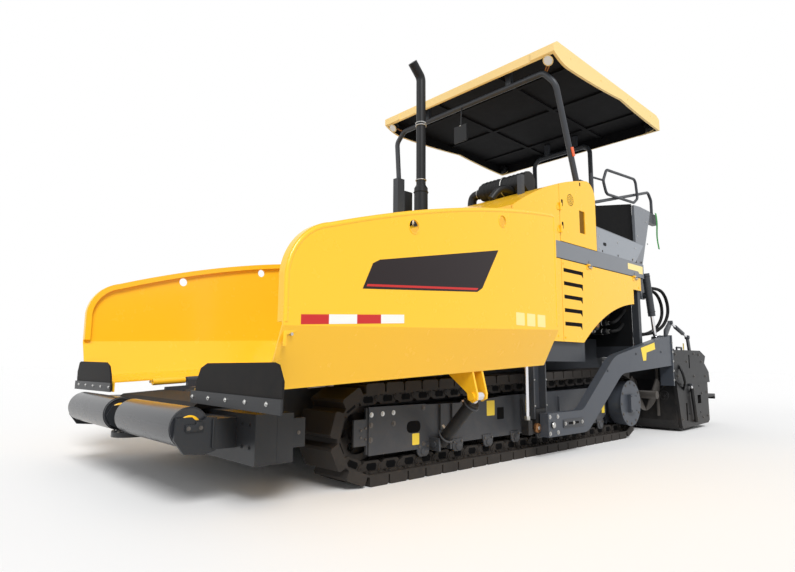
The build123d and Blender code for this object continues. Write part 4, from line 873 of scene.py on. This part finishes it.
class PAVER_OT_arms(bpy.types.Operator):
    """Add the levelling rods' chrome, the adjusting wheels, plates and bolts of the tow arms"""
    bl_idname = "paver.arms"
    bl_label = "Tow arms"

    def execute(self, context):
        bolt = context.scene.paver_sizes.bolt
        bm = bmesh.new()
        add_plate(bm, ARM_FACE, [(-1.063, 0.885), (-1.393, 0.948), (-1.404, 0.880), (-1.190, 0.842),
                                 (-1.172, 0.764), (-1.105, 0.760)], 0.0012)
        add_plate(bm, ARM_FACE, rounded(0.118, 0.440, 0.222, 0.286, 0.012), 0.007, 1, 0.0015)
        # near-black strip in the raised plate's slot: painted shade
        add_plate(bm, ARM_FACE + 0.0068, rounded(0.205, 0.365, 0.246, 0.264, 0.008), 0.0016, 3)
        add_side_bolts(bm, ARM_FACE + 0.007, ((0.150, 0.255), (0.285, 0.255), (0.412, 0.255)), bolt * 0.9,
                       0.008, 2)
        add_side_bolts(bm, ARM_FACE, ((0.515, 0.315), (0.515, 0.195), (0.628, 0.318), (0.628, 0.192)), bolt,
                       0.008, 2)
        add_side_bolts(bm, ARM_FACE, ((-0.35, 0.665), (-0.95, 0.825), (-1.55, 0.855)), bolt * 0.7, 0.006, 1)
        add_side_bolts(bm, ARM_FACE + 0.008, [(-1.838, z) for z in (0.56, 0.66, 0.76, 0.86, 0.96)],
                       bolt * 0.8, 0.007, 2)
        mirrored(bm)
        finish_piece(bm, "tow_arm_trim", "screed",
                     ("blank yellow plate", "chassis grey", "bright steel", "deep shade"))

        bm = bmesh.new()
        add_rod(bm, (LEVEL_X, LEVEL_Y, 0.3005), (LEVEL_X, LEVEL_Y, 0.716), 0.01622)
        add_rod(bm, (LEVEL_X, LEVEL_Y, 0.300), (LEVEL_X, LEVEL_Y, 0.330), 0.024, 1, 6, None, 0.001)
        add_cross_rod(bm, 0.696, 0.236, 1.1675, 1.192, 0.036, 2, 24, None, 0.003)
        add_cross_rod(bm, 0.696, 0.236, 1.191, 1.199, 0.014, 3, 16, None, 0.001)
        add_cross_rod(bm, 0.590, 0.255, 1.2615, 1.266, 0.0235, 3, 24, 0.020)
        mirrored(bm)
        finish_piece(bm, "levelling_rod_chrome", "tow_points",
                     ("chrome", "bright steel", "brass", "bright steel"))

        bm = bmesh.new()
        add_side_bolts(bm, 1.160, [(x, z) for z in (0.40, 0.60, 0.86) for x in (0.527, 0.693)], bolt * 0.6,
                       0.006, 0, False)
        add_ring(bm, (LEVEL_X, LEVEL_Y, 0.722), UP, 0.0285, 0.006, 1, 28)
        add_rod(bm, (LEVEL_X, LEVEL_Y, 1.2395), (LEVEL_X, LEVEL_Y, 1.252), 0.040, 1, 24, None, 0.002)
        for z in (1.165, 0.790):
            add_cross_rod(bm, LEVEL_X, z, 1.205, 1.224, 0.012, 0, 12)
        mirrored(bm)
        finish_piece(bm, "levelling_guide_trim", "tractor", ("bright steel", "black paint"))
        return {"FINISHED"}


HOPPER_RAM = ((1.670, 1.068, 0.206), (1.670, 1.335, 0.472))      # foot and head of a barrel
LIFT_RAM = ((-1.592, 1.120, 1.690), (-1.690, 1.120, 1.262))


class PAVER_OT_rams(bpy.types.Operator):
    """Add collars and pipe bosses to the hopper rams and the screed's lift rams"""
    bl_idname = "paver.rams"
    bl_label = "Rams"

    def execute(self, context):
        bm = bmesh.new()
        foot, head = (Vector(v) for v in HOPPER_RAM)
        along = (head - foot).normalized()
        for share in (0.16, 0.97):
            add_ring(bm, foot.lerp(head, share), along, 0.0545 - 0.004, 0.006, 0, 28)
        out = Vector((0, -along.z, along.y))
        for share in (0.22, 0.86):
            at = foot.lerp(head, share)
            add_rod(bm, at + out * 0.040, at + out * 0.066, 0.013, 1, 6)
        finish_pair(bm, "hopper_ram_trim_{}", "hopper_barrel_{}",
                    ("chassis grey", "bright steel"))

        bm = bmesh.new()
        foot, head = (Vector(v) for v in LIFT_RAM)
        for share in (0.04, 0.93):
            add_ring(bm, foot.lerp(head, share), (head - foot).normalized(), 0.036, 0.006, 0, 28)
        mirrored(bm)
        finish_piece(bm, "lift_ram_trim", "lift_barrels", ("black paint",))
        return {"FINISHED"}


CAP_BOLTS = ((-1.935, 0.838), (-1.980, 0.600), (-2.255, 0.760), (-2.452, 0.593), (-2.820, 0.592),
             (-2.640, 0.840), (-2.720, 0.760), (-2.480, 0.850))
CHEEK_BOLTS = ((-2.702, 0.395), (-2.863, 0.402), (-2.456, 0.438), (-2.333, 0.430), (-2.528, 0.104),
               (-2.085, 0.130), (-2.860, 0.130), (-2.700, 0.120))
LINK_ENDS = ((-1.968, 1.202, 1.187), (-2.444, 1.202, 1.040))     # ends of the threaded link over the screed
BOX_TOP = 0.757


class PAVER_OT_screed(bpy.types.Operator):
    """Add links, hand wheels, cylinders and bolts to the screed's ends"""
    bl_idname = "paver.screed"
    bl_label = "Screed"

    def execute(self, context):
        bolt = context.scene.paver_sizes.bolt
        bm = bmesh.new()
        add_side_bolts(bm, CAP_FACE, CAP_BOLTS, bolt, 0.008, 1)
        add_side_bolts(bm, CHEEK_FACE, CHEEK_BOLTS, bolt * 0.9, 0.008, 1)
        # near-black plate set back in the cheek: painted shade in its recess
        add_plate(bm, CHEEK_FACE - 0.030, rounded(-2.242, -2.178, 0.092, 0.318, 0.010), 0.004, 2)
        add_rod(bm, (-2.320, 1.262, 0.462), (-2.400, 1.262, 0.085), 0.020, 3, 20, None, 0.002)
        add_rod(bm, (-2.312, 1.262, 0.500), (-2.320, 1.262, 0.460), 0.011, 4, 16)
        for x, z in ((-2.312, 0.500), (-2.398, 0.095)):
            add_cross_rod(bm, x, z, CHEEK_FACE - 0.001, 1.276, 0.014, 0, 16, None, 0.001)
        add_tube(bm, eased([(-2.032, CAP_FACE - 0.004, 0.720), (-2.010, 1.285, 0.640), (-2.070, 1.290, 0.520),
                            (-2.150, CHEEK_FACE - 0.004, 0.450)]), 0.014, 3)
        add_plate(bm, 1.190, [(-1.790, 1.020), (-1.850, 1.036), (-1.990, 1.172), (-1.982, 1.202),
                              (-1.950, 1.206), (-1.800, 1.100)], 0.024, 0, 0.003)
        near, far = (Vector(v) for v in LINK_ENDS)
        add_rod(bm, near, far, 0.013, 4, 16)
        add_rod(bm, near.lerp(far, 0.28), near.lerp(far, 0.74), 0.022, 0, 20, None, 0.003)
        for x, _, z in LINK_ENDS:
            add_cross_rod(bm, x, z, 1.180, 1.226, 0.022, 0, 20, None, 0.002)
        add_plate(bm, 1.192, [(-2.460, 0.880), (-2.418, 1.046), (-2.452, 1.066), (-2.480, 1.046),
                              (-2.520, 0.880)], 0.020, 0, 0.002)
        for y, z in ((1.055, 0.503), (1.105, 0.390)):
            add_rod(bm, (-1.985, y, z), (-1.944, y, z), 0.010, 4, 12)
            add_wheel(bm, (-1.940, y, z), FRONT, 0.046, 3)
        add_box(bm, (-1.985, 1.008, 0.163), (-1.962, 1.034, 0.690), 5, 0.002)
        for z in (0.20, 0.42, 0.65):
            add_bolt(bm, (-1.962, 1.021, z), FRONT, bolt * 0.7, 0.006, 1, False)
        add_box(bm, (-2.470, 1.150, 0.889), (-2.440, 1.154, 0.972), 6, 0.001)
        add_rod(bm, (-2.455, 1.152, 0.884), (-2.455, 1.152, 0.900), 0.006, 4, 10)
        for x in (-2.75, -2.60):
            add_rod(bm, (x, 1.02, BOX_TOP - 0.001), (x, 1.02, 0.935), 0.011, 0, 12)
        add_rod(bm, (-2.60, 1.02, 0.930), (-2.75, 1.02, 0.930), 0.011, 0, 12)
        add_box(bm, (-2.58, 0.760, BOX_TOP), (-2.28, 0.985, 0.832), 3, 0.006)
        add_box(bm, (-2.45, 0.999, 0.640), (-2.24, 1.125, 0.822), 3, 0.005)
        mirrored(bm)
        for y in (-0.55, 0.0, 0.55):
            add_box(bm, (-2.62, y - 0.18, BOX_TOP), (-2.22, y + 0.18, 0.812), 3, 0.006)
            add_rod(bm, (-2.42, y - 0.06, 0.822), (-2.42, y + 0.06, 0.822), 0.008, 4, 12)
            for end in (y - 0.06, y + 0.06):
                add_rod(bm, (-2.42, end, 0.806), (-2.42, end, 0.826), 0.008, 4, 12)
        finish_piece(bm, "screed_trim", "screed",
                     ("chassis grey", "worn steel", "deep shade", "black paint", "chrome", "worn steel",
                      "blank yellow plate"))

        bm = bmesh.new()
        for i in range(24):
            y = -1.10 + i * 0.0957
            for x in (-3.33, -3.20, -3.07, -2.94):
                add_box(bm, (x - 0.028, y - 0.006, 0.3625), (x + 0.028, y + 0.006, 0.3662))
        finish_piece(bm, "walkway_grip", "screed", ("worn steel",))
        return {"FINISHED"}


PUMP_X, PUMP_Z, FILTER = -0.865, 1.130, (-0.930, 0.560)
PORTS = ((-1.070, 1.060, 0.030), (-1.070, 1.150, 0.030), (-0.960, 1.200, 0.022))     # x, height and radius
PIPES = (
    (0.017, ((-1.070, 0.935, 1.150), (-1.070, 0.985, 1.150), (-1.180, 0.985, 1.200), (-1.392, 0.960, 1.300))),
    (0.017, ((-1.070, 0.935, 1.060), (-1.070, 0.975, 1.060), (-1.200, 0.975, 1.080), (-1.392, 0.930, 1.150))),
    (0.013, ((-0.960, 0.935, 1.200), (-0.960, 0.975, 1.200), (-1.060, 0.975, 1.330), (-1.392, 0.900, 1.440))),
    (0.014, ((-0.780, 0.690, 1.220), (-0.780, 0.930, 1.220), (-0.860, 0.960, 1.420), (-1.392, 0.860, 1.540))),
)


class PAVER_OT_pump_bay(bpy.types.Operator):
    """Add fittings, lids and pipes to the pumps behind the side opening"""
    bl_idname = "paver.pump_bay"
    bl_label = "Pump bay"

    def execute(self, context):
        bolt = context.scene.paver_sizes.bolt
        bm = bmesh.new()
        add_side_bolts(bm, 0.860, round_spots(PUMP_X, PUMP_Z, 0.080, 8, 0.5), bolt * 0.8, 0.007)
        add_cross_rod(bm, PUMP_X, PUMP_Z, 0.904, 0.914, 0.040, 1, 24, None, 0.002)
        for z, slot in ((1.300, 1), (1.500, 0)):
            add_ring(bm, (*FILTER, z), UP, 0.052, 0.005, slot, 28)
        for x, z, r in PORTS:
            add_cross_rod(bm, x, z, 0.560, 0.905, r, 2, 20, None, 0.002)
            add_cross_rod(bm, x, z, 0.902, 0.935, r * 0.72, 0, 6, None, 0.001)
            add_ring(bm, (x, 0.860, z), SIDE, r, 0.004, 0, 24, 6)
        for r, route in PIPES:
            add_tube(bm, eased(route), r, 3)
        mirrored(bm)
        finish_piece(bm, "pump_bay_fittings", "tractor",
                     ("bright steel", "brass", "black paint", "black rubber"))
        return {"FINISHED"}


CONSOLE_TOP, CONSOLE_X = 2.4315, -0.74


class PAVER_OT_deck(bpy.types.Operator):
    """Dress the deck's sides, the rear wall and the console"""
    bl_idname = "paver.deck"
    bl_label = "Operator's place"

    def execute(self, context):
        bolt = context.scene.paver_sizes.bolt
        bm = bmesh.new()
        add_plate(bm, BAND_FACE, [(-0.515, 1.798), (-0.515, 2.034), (-1.570, 2.008), (-1.350, 1.798)], 0.0012)
        add_side_bolts(bm, 1.119, ((-0.56, 1.83), (-0.56, 1.95), (-0.95, 1.95), (-1.30, 1.83), (-1.36, 1.95)),
                       bolt * 0.6, 0.005, 1)
        add_plate(bm, 1.119, rounded(-0.700, -0.640, 1.875, 1.905, 0.012), 0.004, 2, 0.001)
        add_side_bolts(bm, 1.112, ((-1.45, 2.10), (-1.70, 2.30), (-1.70, 2.05)), bolt * 0.6, 0.005, 1)
        add_side_bolts(bm, 1.085, ((-0.62, 2.02), (-1.0, 2.02), (-1.35, 2.02)), bolt * 0.6, 0.005, 1)
        for z in (1.67, 1.76):
            add_bolt(bm, (-1.5435, 0.95, z), (-1, 0, 0), bolt, 0.008, 1)
        mirrored(bm)
        finish_piece(bm, "deck_trim", "tractor",
                     ("light grey", "bright steel", "black plastic"))

        bm = bmesh.new()
        for y in (0.70, -0.70):
            add_box(bm, (-0.83, y - 0.17, CONSOLE_TOP), (-0.63, y + 0.17, 2.437), 0, 0.002)
            for i in range(6):
                for j in range(3):
                    u, v = -0.80 + 0.042 * j, y - 0.13 + 0.05 * i
                    add_rod(bm, (u, v, 2.436), (u, v, 2.444), 0.009, 1 + (i + j) % 2, 12)
            add_box(bm, (-0.685, y - 0.09, 2.436), (-0.645, y + 0.09, 2.441), 3, 0.001)
            for end in (y - 0.205, y + 0.205):
                add_rod(bm, (CONSOLE_X, end, 2.430), (-0.75, end, 2.500), 0.007, 4, 12)
                add_rod(bm, (-0.75, end, 2.495), (-0.752, end, 2.530), 0.017, 0, 16, 0.013, 0.002)
                add_rod(bm, (CONSOLE_X, end, 2.431), (CONSOLE_X, end, 2.440), 0.026, 0, 20, 0.018)
        add_box(bm, (-0.82, -0.24, CONSOLE_TOP), (-0.66, 0.24, 2.436), 0, 0.002)
        for y in (-0.16, -0.08, 0.0, 0.08, 0.16):
            add_rod(bm, (CONSOLE_X, y, 2.435), (CONSOLE_X, y, 2.445), 0.012, 1, 16)
        finish_piece(bm, "console_controls", "tractor",
                     ("black plastic", "light grey", "signal red", "lamp glass", "chrome"))
        return {"FINISHED"}


SEAT_Y, SEAT_X, SEAT_Z = 0.70, -1.220, 2.118
PAD_FILL, PAD_SWELL = 0.7, 0.008
CHANNEL_HALF, CHANNEL_DEPTH = 0.014, 0.008


def pad_shape(place, size):
    """Closed pad, crowned in the middle and drawn in between its corners."""
    bm = bmesh.new()
    bmesh.ops.create_cube(bm, size=1.0, matrix=Matrix.Diagonal((*size, 1)))
    bmesh.ops.bevel(bm, geom=bm.edges[:], offset=min(size) * 0.30, offset_type="OFFSET", segments=3,
                    profile=0.5, affect="EDGES", material=-1)
    long_edges = [e for e in bm.edges if e.calc_length() > 0.12]
    bmesh.ops.subdivide_edges(bm, edges=long_edges, cuts=6, use_grid_fill=True)
    bmesh.ops.triangulate(bm, faces=[f for f in bm.faces if len(f.verts) > 4])
    bmesh.ops.transform(bm, matrix=place, verts=bm.verts)
    bmesh.ops.recalc_face_normals(bm, faces=bm.faces)
    mesh = bpy.data.meshes.new("pad")
    bm.to_mesh(mesh)
    bm.free()
    return mesh


def baked(piece):
    """The piece's mesh with its modifiers made real and taken off."""
    graph = bpy.context.evaluated_depsgraph_get()
    mesh = bpy.data.meshes.new_from_object(piece.evaluated_get(graph))
    piece.modifiers.clear()
    return mesh


def fill_pad(piece):
    """Swell a pad as cloth under pressure, never further than its cap."""
    remesh = piece.modifiers.new("even", "REMESH")
    remesh.mode = "VOXEL"
    remesh.voxel_size = 0.006
    piece.data = baked(piece)
    start = [v.co.copy() for v in piece.data.vertices]
    cloth = piece.modifiers.new("cloth", "CLOTH")
    cloth.settings.use_pressure = True
    cloth.settings.uniform_pressure_force = 4.0
    cloth.settings.effector_weights.gravity = 0.0
    for step in range(1, 21):
        bpy.context.scene.frame_set(step)
    swollen = baked(piece)
    for vertex, before in zip(swollen.vertices, start):
        move = vertex.co - before
        if move.length > PAD_SWELL:
            vertex.co = before + move.normalized() * PAD_SWELL
    piece.data = swollen
    bpy.context.scene.frame_set(1)
    return piece.data


def add_channels(mesh, place, half, lines):
    """Press sewn channels into the pad's upper face."""
    back = place.inverted()
    for vertex in mesh.vertices:
        local = back @ vertex.co
        if local.z > 0:
            for line in lines:
                off = abs(local.x - line)
                if off < CHANNEL_HALF:
                    dip = 0.5 + 0.5 * math.cos(math.pi * off / CHANNEL_HALF)
                    local.z -= CHANNEL_DEPTH * dip * min(1.0, local.z / (half * 0.5))
            vertex.co = place @ local


class PAVER_OT_seats(bpy.types.Operator):
    """Make the two seats: stands, bellows and padded cushions"""
    bl_idname = "paver.seats"
    bl_label = "Seats"

    def execute(self, context):
        bm = bmesh.new()
        for y in (SEAT_Y, -SEAT_Y):
            add_box(bm, (-1.345, y - 0.150, 1.7935), (-1.095, y + 0.150, 1.815), 0, 0.003)
            add_rod(bm, (SEAT_X, y, 1.812), (SEAT_X, y, 1.880), 0.075, 0, 28, 0.060)
            for i in range(5):
                add_ring(bm, (SEAT_X, y, 1.888 + 0.030 * i), UP, 0.098 - 0.006 * (i % 2), 0.015, 1, 28)
            add_box(bm, (-1.345, y - 0.140, 2.030), (-1.095, y + 0.140, 2.062), 0, 0.004)
            add_box(bm, (-1.440, y - 0.205, 2.058), (-1.060, y + 0.205, 2.074), 0, 0.004)
            for side in (-1, 1):
                add_plate(bm, y + side * 0.190 - 0.004, [(-1.440, 2.060), (-1.395, 2.060), (-1.440, 2.300),
                                                         (-1.472, 2.300)], 0.008, 0, 0.002)
        stand = finish_piece(bm, "seat_stands", "tractor", ("black paint", "black rubber"))
        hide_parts("seats")
        lean = math.atan2(0.065, 0.285)
        seat = Matrix.Translation((-1.250, 0, SEAT_Z))
        rest = (Matrix.Translation((-1.4475, 0, 2.322)) @ Matrix.Rotation(math.radians(90) - lean, 4, "Y")
                @ Matrix.Rotation(math.radians(180), 4, "Z"))
        for label, place, size, lines in (("cushion", seat, (0.400, 0.436, 0.078), (-0.09, 0.0, 0.09)),
                                          ("backrest", rest, (0.270, 0.416, 0.066), (-0.05, 0.05))):
            pad = bpy.data.objects.new("seat_" + label + "_left", pad_shape(place, size))
            context.scene.collection.objects.link(pad)
            mesh = fill_pad(pad)
            add_channels(mesh, place, size[2] / 2, lines)
            mesh.materials.clear()
            mesh.materials.append(PAINTS["seat vinyl"])
            mate = bpy.data.objects.new("seat_" + label + "_right", mesh)
            context.scene.collection.objects.link(mate)
            for piece, y in ((pad, SEAT_Y), (mate, -SEAT_Y)):
                piece.data = mesh.copy()
                piece.data.transform(Matrix.Translation((0, y, 0)))
                piece.data.shade_smooth()
                smooth = piece.modifiers.new("smooth", "SUBSURF")
                smooth.levels = smooth.render_levels = 1
                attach(piece, "tractor")
                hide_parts("seats")
        return {"FINISHED"}


STRAP_WIDTH, STRAP_DROP, STRAP_TOP = 0.038, 0.420, (-1.962, 1.1155, 2.452)


class PAVER_OT_strap(bpy.types.Operator):
    """Hang the green webbing strap from the left rail"""
    bl_idname = "paver.strap"
    bl_label = "Strap"

    def execute(self, context):
        bm = bmesh.new()
        bmesh.ops.create_grid(bm, x_segments=2, y_segments=24, size=0.5,
                              matrix=Matrix.Diagonal((STRAP_WIDTH, STRAP_DROP, 1, 1)))
        bmesh.ops.transform(bm, matrix=Matrix.Rotation(math.radians(90), 4, "X"), verts=bm.verts)
        x, y, z = STRAP_TOP
        for v in bm.verts:
            fall = 0.5 - v.co.z / STRAP_DROP
            v.co = Vector((x + v.co.x - 0.030 * fall, y + 0.006 * math.sin(7.0 * fall),
                           z + v.co.z - STRAP_DROP / 2))
        strap = finish_piece(bm, "rail_strap", "tractor", ("strap green",))
        thick = strap.modifiers.new("thick", "SOLIDIFY")
        thick.thickness = 0.002
        return {"FINISHED"}


# hoses behind the left lift ram, from fitting to fitting, as in the frame
HOSE_R = 0.018
HOSES = (
    ("rear_hose_outer", 2.017,
     ((-1.426, 0.985, 1.540), (-1.668, 0.990, 1.571), (-1.912, 1.012, 1.588), (-2.150, 1.036, 1.590),
      (-2.243, 1.050, 1.536), (-2.297, 1.058, 1.442), (-2.297, 1.062, 1.334), (-2.243, 1.058, 1.241),
      (-2.136, 1.048, 1.151), (-1.940, 1.030, 1.079), (-1.682, 1.004, 1.046), (-1.426, 0.985, 1.052))),
    ("rear_hose_inner", 1.963,
     ((-1.426, 0.922, 1.522), (-1.662, 0.930, 1.556), (-1.896, 0.950, 1.574), (-2.126, 0.976, 1.572),
      (-2.218, 0.990, 1.516), (-2.272, 1.000, 1.422), (-2.270, 1.004, 1.313), (-2.214, 1.000, 1.222),
      (-2.106, 0.988, 1.134), (-1.914, 0.968, 1.066), (-1.670, 0.940, 1.040), (-1.426, 0.922, 1.048))),
)


class PAVER_OT_hoses(bpy.types.Operator):
    """Lay the two hoses that loop out behind the left lift ram"""
    bl_idname = "paver.hoses"
    bl_label = "Hoses"

    def execute(self, context):
        bm = bmesh.new()
        for name, length, route in HOSES:
            data = bpy.data.curves.new(name + "_run", "CURVE")
            data.dimensions = "3D"
            data.bevel_depth = HOSE_R
            data.bevel_resolution = 5
            data.resolution_u = 10
            data.use_fill_caps = True
            spline = data.splines.new("NURBS")
            spline.points.add(len(route) - 1)
            for point, at in zip(spline.points, route):
                point.co = (*at, 1)
            spline.order_u = 3
            spline.use_endpoint_u = True
            data.materials.append(PAINTS["black rubber"])
            hose = bpy.data.objects.new(name + "_run", data)
            context.scene.collection.objects.link(hose)
            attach(hose, "tractor")
            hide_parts(name)
            for end, after in ((route[0], route[1]), (route[-1], route[-2])):
                end = Vector(end)
                along = (Vector(after) - end).normalized()
                add_rod(bm, end - along * 0.004, end + along * 0.060, 0.0225, 0, 20, None, 0.002)
                add_rod(bm, end - along * 0.020, end + along * 0.012, 0.0285, 0, 6, None, 0.001)
        finish_piece(bm, "rear_hose_ends", "tractor", ("bright steel",))
        return {"FINISHED"}


class PAVER_PT_panel(bpy.types.Panel):
    """Buttons of the paver dressing"""
    bl_label = "Paver"
    bl_idname = "PAVER_PT_panel"
    bl_space_type = "VIEW_3D"
    bl_region_type = "UI"
    bl_category = "Paver"

    def draw(self, context):
        for operator in OPERATORS:
            self.layout.operator(operator.bl_idname)
        for group in (context.scene.paver_colours, context.scene.paver_sizes):
            for key in group.bl_rna.properties.keys():
                if key not in ("rna_type", "name"):
                    self.layout.prop(group, key)


OPERATORS = (PAVER_OT_camera, PAVER_OT_paint, PAVER_OT_tracks, PAVER_OT_frames, PAVER_OT_front,
             PAVER_OT_wings, PAVER_OT_hood, PAVER_OT_hood_top, PAVER_OT_canopy, PAVER_OT_arms, PAVER_OT_rams,
             PAVER_OT_screed, PAVER_OT_pump_bay, PAVER_OT_deck, PAVER_OT_seats, PAVER_OT_strap,
             PAVER_OT_hoses, PAVER_OT_stage)
CLASSES = (PaverColours, PaverSizes, *OPERATORS, PAVER_PT_panel)


def register():
    for item in CLASSES:
        bpy.utils.register_class(item)
    bpy.types.Scene.paver_colours = bpy.props.PointerProperty(type=PaverColours)
    bpy.types.Scene.paver_sizes = bpy.props.PointerProperty(type=PaverSizes)


def unregister():
    del bpy.types.Scene.paver_sizes
    del bpy.types.Scene.paver_colours
    for item in reversed(CLASSES):
        bpy.utils.unregister_class(item)


def main():
    register()
    for operator in OPERATORS:
        group, name = operator.bl_idname.split(".")
        getattr(getattr(bpy.ops, group), name)()


if __name__ == "__main__":
    main()
